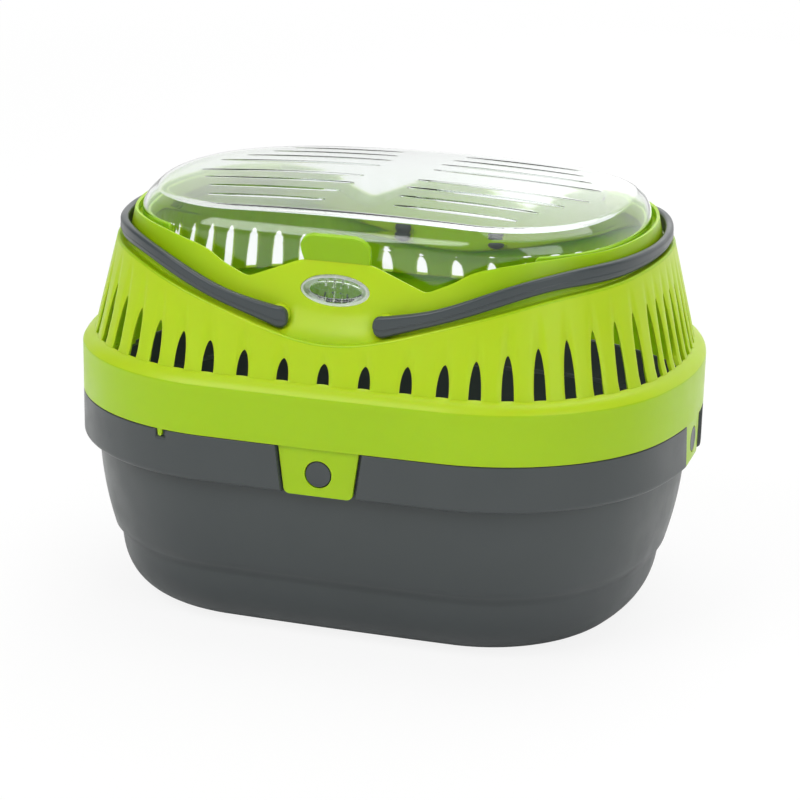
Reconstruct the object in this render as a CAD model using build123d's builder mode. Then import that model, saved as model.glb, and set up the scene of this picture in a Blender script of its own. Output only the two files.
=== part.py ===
from build123d import *

import os
from math import acos, asin, atan2, cos, degrees, hypot, radians, sin, sqrt

# Small pet carrier: a deep tub, a vented roof that snaps onto it, a clear lift-off lid,
# a clear latch button in the front plate and two handles that fold down round the collar.
# Millimetres. X runs along the length, the front faces -Y and Z is up from the middle of
# the tub's underside. An inset is a distance inwards from the widest outline.

# Widest outline, eight tangent arcs
length = 300.0
width = 230.0
side_radius = 2600.0
end_radius = 164.5
corner_radius = 92.7

# Walls and clearances
wall = 2.2
seat_gap = 0.3
pin_gap = 0.1

# Tub, from the floor up
floor_inset = 47.0
heel_inset = 18.0
crease_inset = 17.6
crease_height = 31.2
crease_step = 3.4
crease_rise = 2.8
bulge = 1.6
waist_inset = 7.4
band_height = 22.2
band_round = 3.0
parting = 101.4

# Skirt, tongue and vent wall of the roof
skirt_height = 28.1
skirt_edge = 4.9
skirt_bow = 0.8
sill_inset = 5.7
vent_draft = 0.25
tongue_wall = 1.8
tongue_drop = 5.4

# Vent slots, counted along a quarter of the outline from the middle of the front
slot_lift = 0.3
slot_width = 5.6
slot_low = 9.0
slot_high = 33.5
slot_reach = 190.0
slot_fullness = 0.8
side_pitch = 19.2
side_slots = 3
corner_slots = 8
end_pitch = 10.25
end_slots = 4
flute_radius = 6.0
flute_depth = 1.0
flute_margin = 3.5

# Saddle that carries the handles: places along the half length, heights over its middle
saddle_rise = 17.8
saddle_line = [(0.2, 4.7), (0.373, 12.7), (0.547, 20.6), (0.687, 25.9), (0.813, 28.5), (0.9, 31.4)]

# Collar above the saddle, with its W-shaped rim: places along the half length, drops below the top
latch_rise = 22.0
collar_foot_inset = 19.2
collar_inset = 21.8
collar_top_inset = 26.4
rim_rise = 42.1
hump_half = 16.5
hump_drop = 7.6
notch_x = 42.0
notch_drop = 17.6
shoulder_line = [(0.363, 12.1), (0.407, 8.0), (0.48, 4.7), (0.573, 2.2), (0.693, 0.6)]
lip_start = 0.573
lip_gap = 0.4
lip_wall = 1.8
lip_drop = 1.3
channel_depth = 5.6

# Finger tab over the latch
tab_width = 31.0
tab_height = 13.5
tab_lean = 21.0
tab_corner = 5.0

# Latch button
latch_length = 32.0
latch_height = 13.8
latch_proud = 0.7
latch_edge = 0.5
flange_wall = 1.2
flange_overlap = 1.2

# Snap tabs on the skirt and studs on the tub
snap_top = 39.0
snap_bottom = 33.0
snap_drop = 22.7
snap_inset = 1.5
snap_wall = 2.0
snap_side_gap = 0.8
snap_corner = 3.0
stud_drop = 12.3
stud_diameter = 11.8
stud_gap = 0.45

# Locating nub under the skirt, left of the middle of the front, and the notch that takes it
nub_x = -77.5
nub_width = 2.6
nub_drop = 3.5
nub_side_gap = 1.3

# Handles: places along the half length, heights over the pivot
pivot_x = 25.0
pivot_rise = 9.1
pivot_radius = 5.0
pin_diameter = 6.0
head_diameter = 8.4
head_length = 2.4
boss_radius = 5.0
handle_front = 15.7
handle_end = 20.7
handle_wall = 4.0
handle_corner = 80.0
handle_under = [(0.24, -1.2), (0.4, 6.9), (0.553, 15.2), (0.653, 19.3), (0.813, 20.8), (0.887, 22.3)]
handle_over = [(0.313, 9.8), (0.513, 20.9), (0.627, 25.9), (0.72, 28.3), (0.813, 28.8), (0.887, 28.2)]

# Lid: rises over the rim and steps inwards from its upright skirt
lid_wall = 2.0
lid_gap = 0.45
lid_levels = [(0.0, 0.0), (4.6, 1.9), (18.0, 15.2)]
lid_rise = 16.1
crown_long_radius = 1219.0
crown_cross_radius = 730.0
lid_crease = 4.0
skirt_cover = 4.5
catch_width = 34.0
catch_drop = 27.0
lid_slot_width = 3.2
lid_slot_rows = [(12.6, 13.5, 96.0), (28.4, 13.0, 88.0), (44.2, 14.5, 80.0), (60.0, 16.5, 74.0)]

# Levels and insets worked out from the sizes above
half_length = length / 2
half_width = width / 2
band_bottom = parting - band_height
tub_rim = parting - seat_gap
recess_inset = snap_inset + snap_wall + seat_gap
backing_foot = band_bottom + wall / 2
pocket_foot = band_bottom - wall
stud_level = parting - stud_drop
skirt_top = parting + skirt_height
slot_sill = skirt_top + slot_lift
saddle_middle = skirt_top + saddle_rise
pivot_z = saddle_middle + pivot_rise
latch_level = saddle_middle + latch_rise
rim_top = saddle_middle + rim_rise
hump_top = rim_top - hump_drop
channel_floor = rim_top - channel_depth
lid_inset = collar_top_inset + wall + lid_gap
lip_inset = lid_inset + lid_wall + lip_gap
lid_top = rim_top + lid_rise
lid_foot = rim_top - catch_drop
above = lid_top + 2 * wall
collar_levels = [
    (saddle_middle - 2 * wall, collar_foot_inset),
    (latch_level, collar_inset),
    (rim_top + wall, collar_top_inset),
]

# Centres and turns of the outline's arcs in the first quarter
side_y = half_width - side_radius
end_x = half_length - end_radius
side_reach = side_radius - corner_radius
end_reach = end_radius - corner_radius
span = hypot(end_x, side_y)
along = (side_reach**2 - end_reach**2 + span**2) / (2 * span)
across = sqrt(side_reach**2 - along**2)
corner_x = (along * end_x - across * side_y) / span
corner_y = side_y - (along * side_y + across * end_x) / span
end_turn = degrees(atan2(corner_y, corner_x - end_x))
side_turn = degrees(atan2(corner_y - side_y, corner_x))
nub_turn = acos((abs(nub_x) - corner_x) / corner_radius)
nub_y = -corner_y - corner_radius * sin(nub_turn)


def collar_at(height):
    """Give the inset of the collar's outer face, a parabola through its three levels."""
    inset = 0
    for level, value in collar_levels:
        for other in [other for other, _ in collar_levels if other != level]:
            value *= (height - other) / (level - other)
        inset += value
    return inset


def vent_at(height):
    """Give the inset of the vent wall's outer face."""
    return sill_inset + vent_draft * (height - skirt_top)


# Faces that carry sketches
front_plane = Plane(origin=(0, -half_width, 0), x_dir=(1, 0, 0), z_dir=(0, -1, 0))
back_plane = Plane(origin=(0, half_width, 0), x_dir=(-1, 0, 0), z_dir=(0, 1, 0))
right_plane = Plane(origin=(half_length, 0, 0), x_dir=(0, 1, 0), z_dir=(1, 0, 0))
left_plane = Plane(origin=(-half_length, 0, 0), x_dir=(0, -1, 0), z_dir=(-1, 0, 0))
snap_planes = [front_plane, back_plane, right_plane, left_plane]
nub_plane = Plane(
    origin=(nub_x, nub_y, parting),
    x_dir=(sin(nub_turn), -cos(nub_turn), 0),
    z_dir=(-cos(nub_turn), -sin(nub_turn), 0),
)
plate_slope = (collar_at(latch_level + wall) - collar_at(latch_level - wall)) / (2 * wall)
plate_plane = Plane(
    origin=(0, collar_inset - half_width, latch_level),
    x_dir=(1, 0, 0),
    z_dir=(0, -1, plate_slope),
)
tab_plane = Plane(
    origin=(0, collar_at(hump_top) - half_width, hump_top),
    x_dir=(1, 0, 0),
    z_dir=(0, -cos(radians(tab_lean)), -sin(radians(tab_lean))),
)


def draw_outline(inset):
    """Draw the outline, stepped in, as tangent arcs from the middle of the right end."""
    quarter = [
        (end_x, 0, end_radius - inset, 0, end_turn),
        (corner_x, corner_y, corner_radius - inset, end_turn, side_turn),
        (0, side_y, side_radius - inset, side_turn, 90),
    ]
    for x, y, radius, start, stop in quarter:
        CenterArc((x, y), radius, start, stop - start)
    for x, y, radius, start, stop in reversed(quarter):
        CenterArc((-x, y), radius, 180 - stop, stop - start)
    for x, y, radius, start, stop in quarter:
        CenterArc((-x, -y), radius, 180 + start, stop - start)
    for x, y, radius, start, stop in reversed(quarter):
        CenterArc((x, -y), radius, 360 - stop, stop - start)


def stack(levels, ruled=True):
    """Make a solid through (height, inset) levels of the outline."""
    with BuildPart() as block:
        for height, inset in levels:
            with BuildSketch(Plane.XY.offset(height)):
                with BuildLine():
                    draw_outline(inset)
                make_face()
        loft(ruled=ruled)
    return block.part


def ring(outer_inset, inner_inset, low, high):
    """Make an upright band round the outline between two insets and two heights."""
    with BuildPart() as band:
        for inset, mode in ((outer_inset, Mode.ADD), (inner_inset, Mode.SUBTRACT)):
            with BuildSketch(Plane.XY.offset(low)):
                with BuildLine():
                    draw_outline(inset)
                make_face()
            extrude(amount=high - low, mode=mode)
    return band.part


def at(inset, height):
    """Place a point of a wall's section, on the plane through the right end."""
    return (half_length - inset, height)


def snap_windows(grow):
    """Make the shape of the snap tabs, grown all round, through the band on four sides."""
    top = snap_top / 2 + grow
    bottom = snap_bottom / 2 + grow
    head = parting + wall
    foot = parting - snap_drop - grow
    with BuildPart() as windows:
        for plane in snap_planes:
            with BuildSketch(plane) as window:
                with BuildLine():
                    Polyline((-top, head), (-bottom, foot), (bottom, foot), (top, head), close=True)
                make_face()
                fillet(window.vertices().group_by(Axis.Y)[0], radius=snap_corner)
            extrude(amount=4 * wall, both=True)
    return windows.part


def snap_patch(grow, outer_inset, inner_inset, low, high):
    """Make the parts of an upright band that lie inside the grown snap windows."""
    with BuildPart() as patch:
        add(ring(outer_inset, inner_inset, low, high))
        add(snap_windows(grow), mode=Mode.INTERSECT)
    return patch.part


def draw_tub_side(depth):
    """Draw the tub's side from floor to rim, at a depth inside its outer face."""
    crease = at(crease_inset + depth, crease_height)
    ledge_point = at(crease_inset - crease_step + depth, crease_height + crease_rise)
    middle = (crease_height + crease_rise + band_bottom) / 2
    belly = at((crease_inset - crease_step + waist_inset) / 2 - bulge + depth, middle)
    waist = at(waist_inset + depth, band_bottom + depth)
    round_level = band_bottom + band_round
    Bezier(at(floor_inset, depth), at(heel_inset + depth, depth), crease)
    Line(crease, ledge_point)
    ThreePointArc(ledge_point, belly, waist)
    Line(waist, at(band_round, band_bottom + depth))
    CenterArc(at(band_round, round_level), band_round - depth, 270, 90)
    Line(at(depth, round_level), at(depth, tub_rim))


# Tub: side wall carried round the outline, floor, four recesses and the studs in them
with BuildPart() as base_tub:
    with BuildLine() as tub_path:
        draw_outline(0)
    with BuildSketch(Plane.XZ):
        with BuildLine():
            draw_tub_side(0)
            Line(at(0, tub_rim), at(wall, tub_rim))
            draw_tub_side(wall)
            Line(at(floor_inset, wall), at(floor_inset, 0))
        make_face()
    sweep(path=tub_path.wires()[0])
    with BuildSketch():
        with BuildLine():
            draw_outline(floor_inset)
        make_face()
    extrude(amount=wall)
    add(snap_patch(snap_side_gap + wall, wall / 2, recess_inset + wall, backing_foot, tub_rim))
    add(snap_patch(snap_side_gap, -wall, recess_inset, pocket_foot, parting + wall), mode=Mode.SUBTRACT)
    for plane in snap_planes:
        with BuildSketch(plane.offset(-snap_inset)):
            with Locations((0, stud_level)):
                Circle(stud_diameter / 2)
        extrude(amount=snap_inset - recess_inset - wall / 2)
    with BuildSketch(nub_plane):
        Rectangle(nub_width + 2 * nub_side_gap, 2 * (nub_drop + seat_gap))
    extrude(amount=-(wall + seat_gap / 2), mode=Mode.SUBTRACT)
base_tub.part.label = "base_tub"


def draw_roof_section():
    """Draw the closed section of the tongue, skirt and vent wall."""
    tongue_face = wall + seat_gap
    tongue_back = tongue_face + tongue_wall
    tongue_foot = parting - tongue_drop
    edge_level = skirt_top - skirt_edge
    inner_level = edge_level - wall / 4
    Polyline(at(tongue_face, tongue_foot), at(tongue_face, parting), at(0, parting), at(0, edge_level))
    SagittaArc(at(sill_inset, skirt_top), at(0, edge_level), skirt_bow)
    Polyline(
        at(sill_inset, skirt_top),
        at(vent_at(rim_top), rim_top),
        at(vent_at(rim_top) + wall, rim_top),
        at(sill_inset + wall, skirt_top - wall),
        at(sill_inset, skirt_top - wall),
    )
    SagittaArc(at(sill_inset, skirt_top - wall), at(wall, inner_level), skirt_bow / 2)
    Polyline(
        at(wall, inner_level),
        at(wall, parting + 2 * wall),
        at(tongue_back, parting + wall),
        at(tongue_back, tongue_foot),
        at(tongue_face, tongue_foot),
    )


def saddle_block(drop, limit):
    """Make everything between the saddle, lowered by drop, and a level below or above it."""
    right = [(share * half_length, saddle_middle + rise - drop) for share, rise in saddle_line]
    left = [(-x, z) for x, z in reversed(right)]
    points = left + [(0, saddle_middle - drop)] + right
    with BuildPart() as block:
        with BuildSketch(Plane.XZ):
            with BuildLine():
                Spline(points)
                Polyline(
                    points[-1],
                    (half_length, points[-1][1]),
                    (half_length, limit),
                    (-half_length, limit),
                    (-half_length, points[0][1]),
                    points[0],
                )
            make_face()
        extrude(amount=width, both=True)
    return block.part


def saddle_at(x):
    """Give the saddle's height over a place on X, straight between its points."""
    points = [(0, 0)] + [(share * half_length, rise) for share, rise in saddle_line]
    reach = min(abs(x), points[-1][0])
    for (low_x, low), (high_x, high) in zip(points, points[1:]):
        if reach <= high_x:
            return saddle_middle + low + (high - low) * (reach - low_x) / (high_x - low_x)


def rim_cut(drop):
    """Make everything above the collar's rim line, lowered by drop."""
    shoulder = [(share * half_length, rim_top - fall - drop) for share, fall in shoulder_line]
    notch = (notch_x, rim_top - notch_drop - drop)
    hump = (hump_half, hump_top - drop)
    with BuildPart() as block:
        with BuildSketch(Plane.XZ):
            with BuildLine():
                for side in (1, -1):
                    shoulder_side = [(side * x, z) for x, z in shoulder]
                    Polyline((0, hump[1]), (side * hump[0], hump[1]), (side * notch[0], notch[1]),
                             shoulder_side[0])
                    Spline(shoulder_side)
                    Polyline(shoulder_side[-1], (side * half_length, rim_top - drop),
                             (side * half_length, above), (0, above))
            make_face()
        extrude(amount=width, both=True)
    return block.part


def slot_places():
    """List foot point, outward angle and rise of every vent slot round the outline."""
    side_run = radians(90 - side_turn) * (side_radius - sill_inset)
    corner_run = radians(side_turn - end_turn) * (corner_radius - sill_inset)
    end_run = radians(end_turn) * (end_radius - sill_inset)
    total = side_run + corner_run + end_run
    side_end = side_pitch * (side_slots - 1) + side_pitch / 2
    end_start = total - end_pitch * end_slots
    corner_pitch = 2 * (end_start - side_end) / (2 * corner_slots + 1)
    corner_start = side_end + corner_pitch / 2
    travels = [side_pitch * count for count in range(side_slots)]
    travels += [corner_start + corner_pitch * count for count in range(corner_slots)]
    travels += [end_start + end_pitch * count for count in range(end_slots + 1)]
    places = []
    for travel in travels:
        if travel < side_run:
            x, y, radius = 0, side_y, side_radius - sill_inset
            angle = 90 - degrees(travel / radius)
        elif travel < side_run + corner_run:
            x, y, radius = corner_x, corner_y, corner_radius - sill_inset
            angle = side_turn - degrees((travel - side_run) / radius)
        else:
            x, y, radius = end_x, 0, end_radius - sill_inset
            angle = degrees((total - travel) / radius)
        foot_x = x + radius * cos(radians(angle))
        foot_y = y + radius * sin(radians(angle))
        climb = sin(radians(90 * min(1, travel / slot_reach))) ** 2
        rise = slot_low + (slot_high - slot_low) * climb
        for side in (1, -1) if foot_x > slot_width else (1,):
            for face in (1, -1) if foot_y > slot_width else (1,):
                turned = degrees(atan2(face * sin(radians(angle)), side * cos(radians(angle))))
                places.append((side * foot_x, face * foot_y, turned, rise))
    return places


# Roof: vent wall, saddle, collar with its lips, finger tab, snap tabs, slots and holes
collar_inside = [(height, inset + wall) for height, inset in collar_levels]
vent_core = [(height, vent_at(height) + wall / 2) for height in (skirt_top, rim_top)]
boss_face = handle_front + handle_wall / 2 + seat_gap
boss_back = collar_at(pivot_z + boss_radius) + wall

with BuildPart() as ledge:
    add(saddle_block(0, parting))
    add(saddle_block(wall, parting), mode=Mode.SUBTRACT)
    add(stack(vent_core), mode=Mode.INTERSECT)
    add(stack(collar_inside, ruled=False), mode=Mode.SUBTRACT)

with BuildPart() as collar:
    add(stack(collar_levels, ruled=False))
    add(stack(collar_inside, ruled=False), mode=Mode.SUBTRACT)
    add(saddle_block(wall, parting), mode=Mode.SUBTRACT)
    add(rim_cut(0), mode=Mode.SUBTRACT)

with BuildPart() as lips:
    add(ring(collar_top_inset, lip_inset + lip_wall, channel_floor - wall, channel_floor))
    add(ring(lip_inset, lip_inset + lip_wall, channel_floor - wall, rim_top - lip_drop))
    with BuildSketch():
        Rectangle(2 * lip_start * half_length, 2 * width)
    extrude(amount=above, mode=Mode.SUBTRACT)

slots = []
flutes = []
for foot_x, foot_y, angle, rise in slot_places():
    outward = Vector(cos(radians(angle)), sin(radians(angle)), 0)
    slot_plane = Plane(origin=(foot_x, foot_y, slot_sill), x_dir=(-outward.Y, outward.X, 0), z_dir=outward)
    with BuildPart() as slot:
        with BuildSketch(slot_plane.offset(wall)):
            with BuildLine():
                for side in (1, -1):
                    foot = (side * slot_width / 2, 0)
                    ThreePointArc(foot, (foot[0] * slot_fullness, rise / 2), (0, rise))
                Line((-slot_width / 2, 0), (slot_width / 2, 0))
            make_face()
        extrude(amount=-(vent_draft * rise + 3 * wall))
    slots.append(slot.part)

    climb = saddle_at(foot_x) - flute_margin - slot_sill
    centre = slot_plane.origin + outward * (flute_radius - flute_depth)
    run = outward * (flute_depth - vent_draft * climb) + Vector(0, 0, climb)
    with BuildPart() as flute:
        with BuildSketch(Plane.XY.offset(slot_sill)):
            with Locations((centre.X, centre.Y)):
                Circle(flute_radius)
        extrude(amount=run.length, dir=run)
    flutes.append(flute.part)

with BuildPart() as roof_shell:
    with BuildLine() as roof_path:
        draw_outline(0)
    with BuildSketch(Plane.XZ):
        with BuildLine():
            draw_roof_section()
        make_face()
    sweep(path=roof_path.wires()[0])
    add(saddle_block(0, above), mode=Mode.SUBTRACT)
    add(ledge.part)
    add(collar.part)
    add(lips.part)
    for plane in (front_plane, back_plane):
        with BuildSketch(plane.offset(-boss_face)):
            with Locations((pivot_x, pivot_z), (-pivot_x, pivot_z)):
                Circle(boss_radius)
        extrude(amount=boss_face - boss_back)
        with BuildSketch(plane.offset(-boss_face)):
            with Locations((pivot_x, pivot_z), (-pivot_x, pivot_z)):
                Circle(pin_diameter / 2 + pin_gap)
        extrude(amount=2 * (boss_face - boss_back), mode=Mode.SUBTRACT)
    with BuildSketch(tab_plane) as tab:
        with Locations((0, (tab_height - wall) / 2)):
            Rectangle(tab_width, tab_height + wall)
        fillet(tab.vertices().group_by(Axis.Y)[-1], radius=tab_corner)
    extrude(amount=-wall)
    with BuildSketch(plate_plane):
        Ellipse(latch_length / 2 + seat_gap, latch_height / 2 + seat_gap)
    extrude(amount=2 * wall, both=True, mode=Mode.SUBTRACT)
    tongue_gap = snap_side_gap + wall + seat_gap
    add(snap_patch(tongue_gap, wall, wall + 2 * tongue_wall, pocket_foot, parting), mode=Mode.SUBTRACT)
    add(snap_patch(0, snap_inset, snap_inset + snap_wall, pocket_foot, parting + wall))
    for plane in snap_planes:
        with BuildSketch(plane):
            with Locations((0, stud_level)):
                Circle(stud_diameter / 2 + stud_gap)
        extrude(amount=-3 * wall, mode=Mode.SUBTRACT)
    with BuildSketch(nub_plane.offset(-seat_gap / 2)) as nub:
        Rectangle(nub_width, 2 * nub_drop)
        fillet(nub.vertices().group_by(Axis.Y)[0], radius=nub_width / 3)
    extrude(amount=-(wall - seat_gap))
    add(slots + flutes, mode=Mode.SUBTRACT)
roof_shell.part.label = "roof_shell"

# Latch button: an oval nose through the plate and a flange behind it
with BuildPart() as latch_button:
    with BuildSketch(plate_plane.offset(latch_proud)):
        Ellipse(latch_length / 2, latch_height / 2)
    extrude(amount=-(latch_proud + wall + seat_gap))
    chamfer(latch_button.faces().sort_by(Axis.Y)[0].edges(), length=latch_edge)
    with BuildSketch(plate_plane.offset(-(wall + seat_gap))):
        Ellipse(latch_length / 2 + flange_overlap, latch_height / 2 + flange_overlap)
    extrude(amount=-flange_wall)
latch_button.part.label = "latch_button"


# Handles: a bent strap cut to the handle's side view, with a headed pin at each end
handle_reach = half_width - handle_front
handle_arc = end_radius - handle_end
handle_y = handle_reach - handle_corner
handle_x = end_x + sqrt((handle_arc - handle_corner) ** 2 - handle_y**2)
handle_turn = degrees(atan2(handle_y, handle_x - end_x))


def draw_handle_side(shift):
    """Draw one face of the handle in plan, shifted outwards from its middle."""
    start = (pivot_x - pivot_radius, -handle_reach - shift)
    Line(start, (handle_x, -handle_reach - shift))
    CenterArc((handle_x, -handle_y), handle_corner + shift, 270, 90 - handle_turn)
    CenterArc((end_x, 0), handle_arc + shift, -handle_turn, 2 * handle_turn)
    CenterArc((handle_x, handle_y), handle_corner + shift, handle_turn, 90 - handle_turn)
    Line((handle_x, handle_reach + shift), (start[0], handle_reach + shift))


with BuildPart() as right_handle:
    with BuildSketch(Plane.XY.offset(skirt_top)):
        with BuildLine():
            draw_handle_side(handle_wall / 2)
            draw_handle_side(-handle_wall / 2)
            for side in (1, -1):
                Line((pivot_x - pivot_radius, side * (handle_reach + handle_wall / 2)),
                     (pivot_x - pivot_radius, side * (handle_reach - handle_wall / 2)))
        make_face()
    extrude(amount=above - skirt_top)
    with BuildSketch(Plane.XZ):
        with BuildLine():
            under = [(share * half_length, pivot_z + rise) for share, rise in handle_under]
            over = [(share * half_length, pivot_z + rise) for share, rise in handle_over]
            ThreePointArc((pivot_x, pivot_z + pivot_radius), (pivot_x - pivot_radius, pivot_z),
                          (pivot_x, pivot_z - pivot_radius))
            Spline([(pivot_x, pivot_z - pivot_radius)] + under)
            Line(under[-1], over[-1])
            Spline([(pivot_x, pivot_z + pivot_radius)] + over)
        make_face()
    extrude(amount=width, both=True, mode=Mode.INTERSECT)
    for plane, side in ((front_plane, 1), (back_plane, -1)):
        with BuildSketch(plane.offset(-handle_front)):
            with Locations((side * pivot_x, pivot_z)):
                Circle(pin_diameter / 2)
        extrude(amount=handle_front - boss_back - seat_gap - head_length)
        with BuildSketch(plane.offset(-boss_back - seat_gap)):
            with Locations((side * pivot_x, pivot_z)):
                Circle(head_diameter / 2)
        extrude(amount=-head_length)
right_handle.part.label = "right_handle"

with BuildPart() as left_handle:
    mirror(right_handle.part, about=Plane.YZ)
left_handle.part.label = "left_handle"


def lid_block(depth):
    """Make the solid inside the lid's outer face, at a depth below that face."""
    levels = [(lid_foot - wall - depth, lid_inset + depth)]
    levels += [(rim_top + rise, lid_inset + step + depth) for rise, step in lid_levels]
    long_radius = crown_long_radius - depth
    top = lid_top - depth
    half_arc = degrees(asin(half_length / long_radius))
    with BuildPart() as block:
        with BuildSketch(Plane.XZ):
            with BuildLine():
                arc = CenterArc((0, top - long_radius), long_radius, 90 - half_arc, 2 * half_arc)
                Polyline(arc @ 1, (-half_length, parting), (half_length, parting), arc @ 0)
            make_face()
        revolve(axis=Axis((0, 0, lid_top - crown_cross_radius), (1, 0, 0)))
        add(stack(levels), mode=Mode.INTERSECT)
        crown = block.faces().sort_by(Axis.Z)[-1]
        fillet(crown.edges(), radius=lid_crease - depth)
    return block.part


# Lid: shell cut to a W below the front and back rims, seated in the channels at the ends
with BuildPart() as lid_reach:
    add(rim_cut(skirt_cover))
    with BuildSketch():
        Rectangle(2 * lip_start * half_length - 2 * lid_wall, 2 * width)
    extrude(amount=above, mode=Mode.INTERSECT)
    with BuildSketch(Plane.XY.offset(channel_floor + seat_gap)):
        Rectangle(length, width)
    extrude(amount=above - channel_floor)
    with BuildSketch(Plane.XZ):
        with Locations((0, (lid_foot + rim_top) / 2)):
            Rectangle(catch_width, rim_top - lid_foot)
    extrude(amount=half_width)

with BuildPart() as lid:
    add(lid_block(0))
    add(lid_block(lid_wall), mode=Mode.SUBTRACT)
    add(lid_reach.part, mode=Mode.INTERSECT)
    with BuildSketch(Plane.XY.offset(rim_top)):
        for y, inner_x, outer_x in lid_slot_rows:
            with BuildLine():
                for edge in (1, -1):
                    ThreePointArc(
                        (inner_x, y),
                        ((inner_x + outer_x) / 2, y + edge * lid_slot_width / 2),
                        (outer_x, y),
                    )
            make_face()
        mirror(about=Plane.XZ)
        mirror(about=Plane.YZ)
    extrude(amount=above - rim_top, mode=Mode.SUBTRACT)
lid.part.label = "lid"

os.makedirs("parts", exist_ok=True)
for piece in (base_tub, roof_shell, latch_button, right_handle, left_handle, lid):
    export_step(piece.part, f"parts/{piece.part.label}.step")
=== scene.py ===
import bpy
import bmesh
import math
import numpy as np
from mathutils import Matrix, Vector
from mathutils.geometry import delaunay_2d_cdt


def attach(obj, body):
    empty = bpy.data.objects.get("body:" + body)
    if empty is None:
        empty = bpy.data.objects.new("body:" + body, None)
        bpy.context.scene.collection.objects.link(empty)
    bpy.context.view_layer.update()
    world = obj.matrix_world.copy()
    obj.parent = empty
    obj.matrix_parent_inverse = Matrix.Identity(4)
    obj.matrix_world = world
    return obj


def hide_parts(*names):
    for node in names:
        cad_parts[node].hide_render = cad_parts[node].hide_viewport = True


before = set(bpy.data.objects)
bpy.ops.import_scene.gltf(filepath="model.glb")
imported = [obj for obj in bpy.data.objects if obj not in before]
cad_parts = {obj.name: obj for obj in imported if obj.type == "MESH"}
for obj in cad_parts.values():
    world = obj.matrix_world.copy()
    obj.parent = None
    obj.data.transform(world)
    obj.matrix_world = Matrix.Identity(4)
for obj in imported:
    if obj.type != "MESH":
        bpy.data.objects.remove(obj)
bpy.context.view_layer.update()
scene = bpy.context.scene
mm = 0.001  # shapes are worked out in millimetres and become metres in makeObject
quarterTurn, halfTurn, fullTurn = math.pi / 2, math.pi, 2 * math.pi
print("frame loaded:", len(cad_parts), "nodes")

# outline of the carrier: eight tangent arcs; an inset is a distance inwards from it, and a run is
# a distance along it from the middle of the front, on past the right end
outline = {"halfLength": 150.0, "halfWidth": 115.0, "sideRadius": 2600.0, "endRadius": 164.5,
           "cornerRadius": 92.7}
sideY = outline["halfWidth"] - outline["sideRadius"]
endX = outline["halfLength"] - outline["endRadius"]
sideReach = outline["sideRadius"] - outline["cornerRadius"]
endReach = outline["endRadius"] - outline["cornerRadius"]
centreSpan = math.hypot(endX, sideY)
centreAlong = (sideReach**2 - endReach**2 + centreSpan**2) / (2 * centreSpan)
centreAcross = math.sqrt(sideReach**2 - centreAlong**2)
cornerX = (centreAlong * endX - centreAcross * sideY) / centreSpan
cornerY = sideY - (centreAlong * sideY + centreAcross * endX) / centreSpan
endTurn = math.atan2(cornerY, cornerX - endX)
sideTurn = math.atan2(cornerY - sideY, cornerX)

arcRows = np.array([  # centre, radius, first and last angle
    (0, -sideY, outline["sideRadius"], 1.5 * halfTurn, fullTurn - sideTurn),
    (cornerX, -cornerY, outline["cornerRadius"], fullTurn - sideTurn, fullTurn - endTurn),
    (endX, 0, outline["endRadius"], -endTurn, endTurn),
    (cornerX, cornerY, outline["cornerRadius"], endTurn, sideTurn),
    (0, sideY, outline["sideRadius"], sideTurn, halfTurn - sideTurn),
    (-cornerX, cornerY, outline["cornerRadius"], halfTurn - sideTurn, halfTurn - endTurn),
    (-endX, 0, outline["endRadius"], halfTurn - endTurn, halfTurn + endTurn),
    (-cornerX, -cornerY, outline["cornerRadius"], halfTurn + endTurn, halfTurn + sideTurn),
    (0, -sideY, outline["sideRadius"], halfTurn + sideTurn, 1.5 * halfTurn),
])
arcRuns = np.concatenate([[0], np.cumsum(arcRows[:, 2] * (arcRows[:, 4] - arcRows[:, 3]))])
fullRun = arcRuns[-1]
sideRuns = [0, fullRun / 4, fullRun / 2, 3 * fullRun / 4]  # middles of the four sides


def walkOutline(run):
    # point and outward normal after a run: centre + radius * (cos a, sin a)
    run = np.mod(run, fullRun)
    row = np.clip(np.searchsorted(arcRuns, run, side="right") - 1, 0, len(arcRows) - 1)
    x, y, radius, first = (arcRows[row, k] for k in range(4))
    angle = first + (run - arcRuns[row]) / radius
    normal = np.stack([np.cos(angle), np.sin(angle)], -1)
    return np.stack([x, y], -1) + radius[..., None] * normal, normal


def placePoints(run, inset, height):
    # outline point - inset * normal, lifted to the height
    run, inset, height = np.broadcast_arrays(run, inset, height)
    point, normal = walkOutline(run)
    flat = point - inset[..., None] * normal
    return np.concatenate([flat, height[..., None]], -1)


def runAtX(x, inset):
    # run at which the stepped-in outline passes x on the front: radius * asin(x / stepped radius),
    # and past that arc the corner's radius * its angle on top
    reach = abs(x)
    if reach <= (outline["sideRadius"] - inset) * math.cos(sideTurn):
        run = outline["sideRadius"] * math.asin(reach / (outline["sideRadius"] - inset))
    else:
        angle = math.acos((reach - cornerX) / (outline["cornerRadius"] - inset))
        run = outline["sideRadius"] * (quarterTurn - sideTurn) + outline["cornerRadius"] * (sideTurn - angle)
    return math.copysign(run, x)


def runAway(run, places):
    # shortest run to the nearest of the places, either way round
    return np.abs(np.mod(run[..., None] - places + fullRun / 2, fullRun) - fullRun / 2).min(-1)


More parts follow.
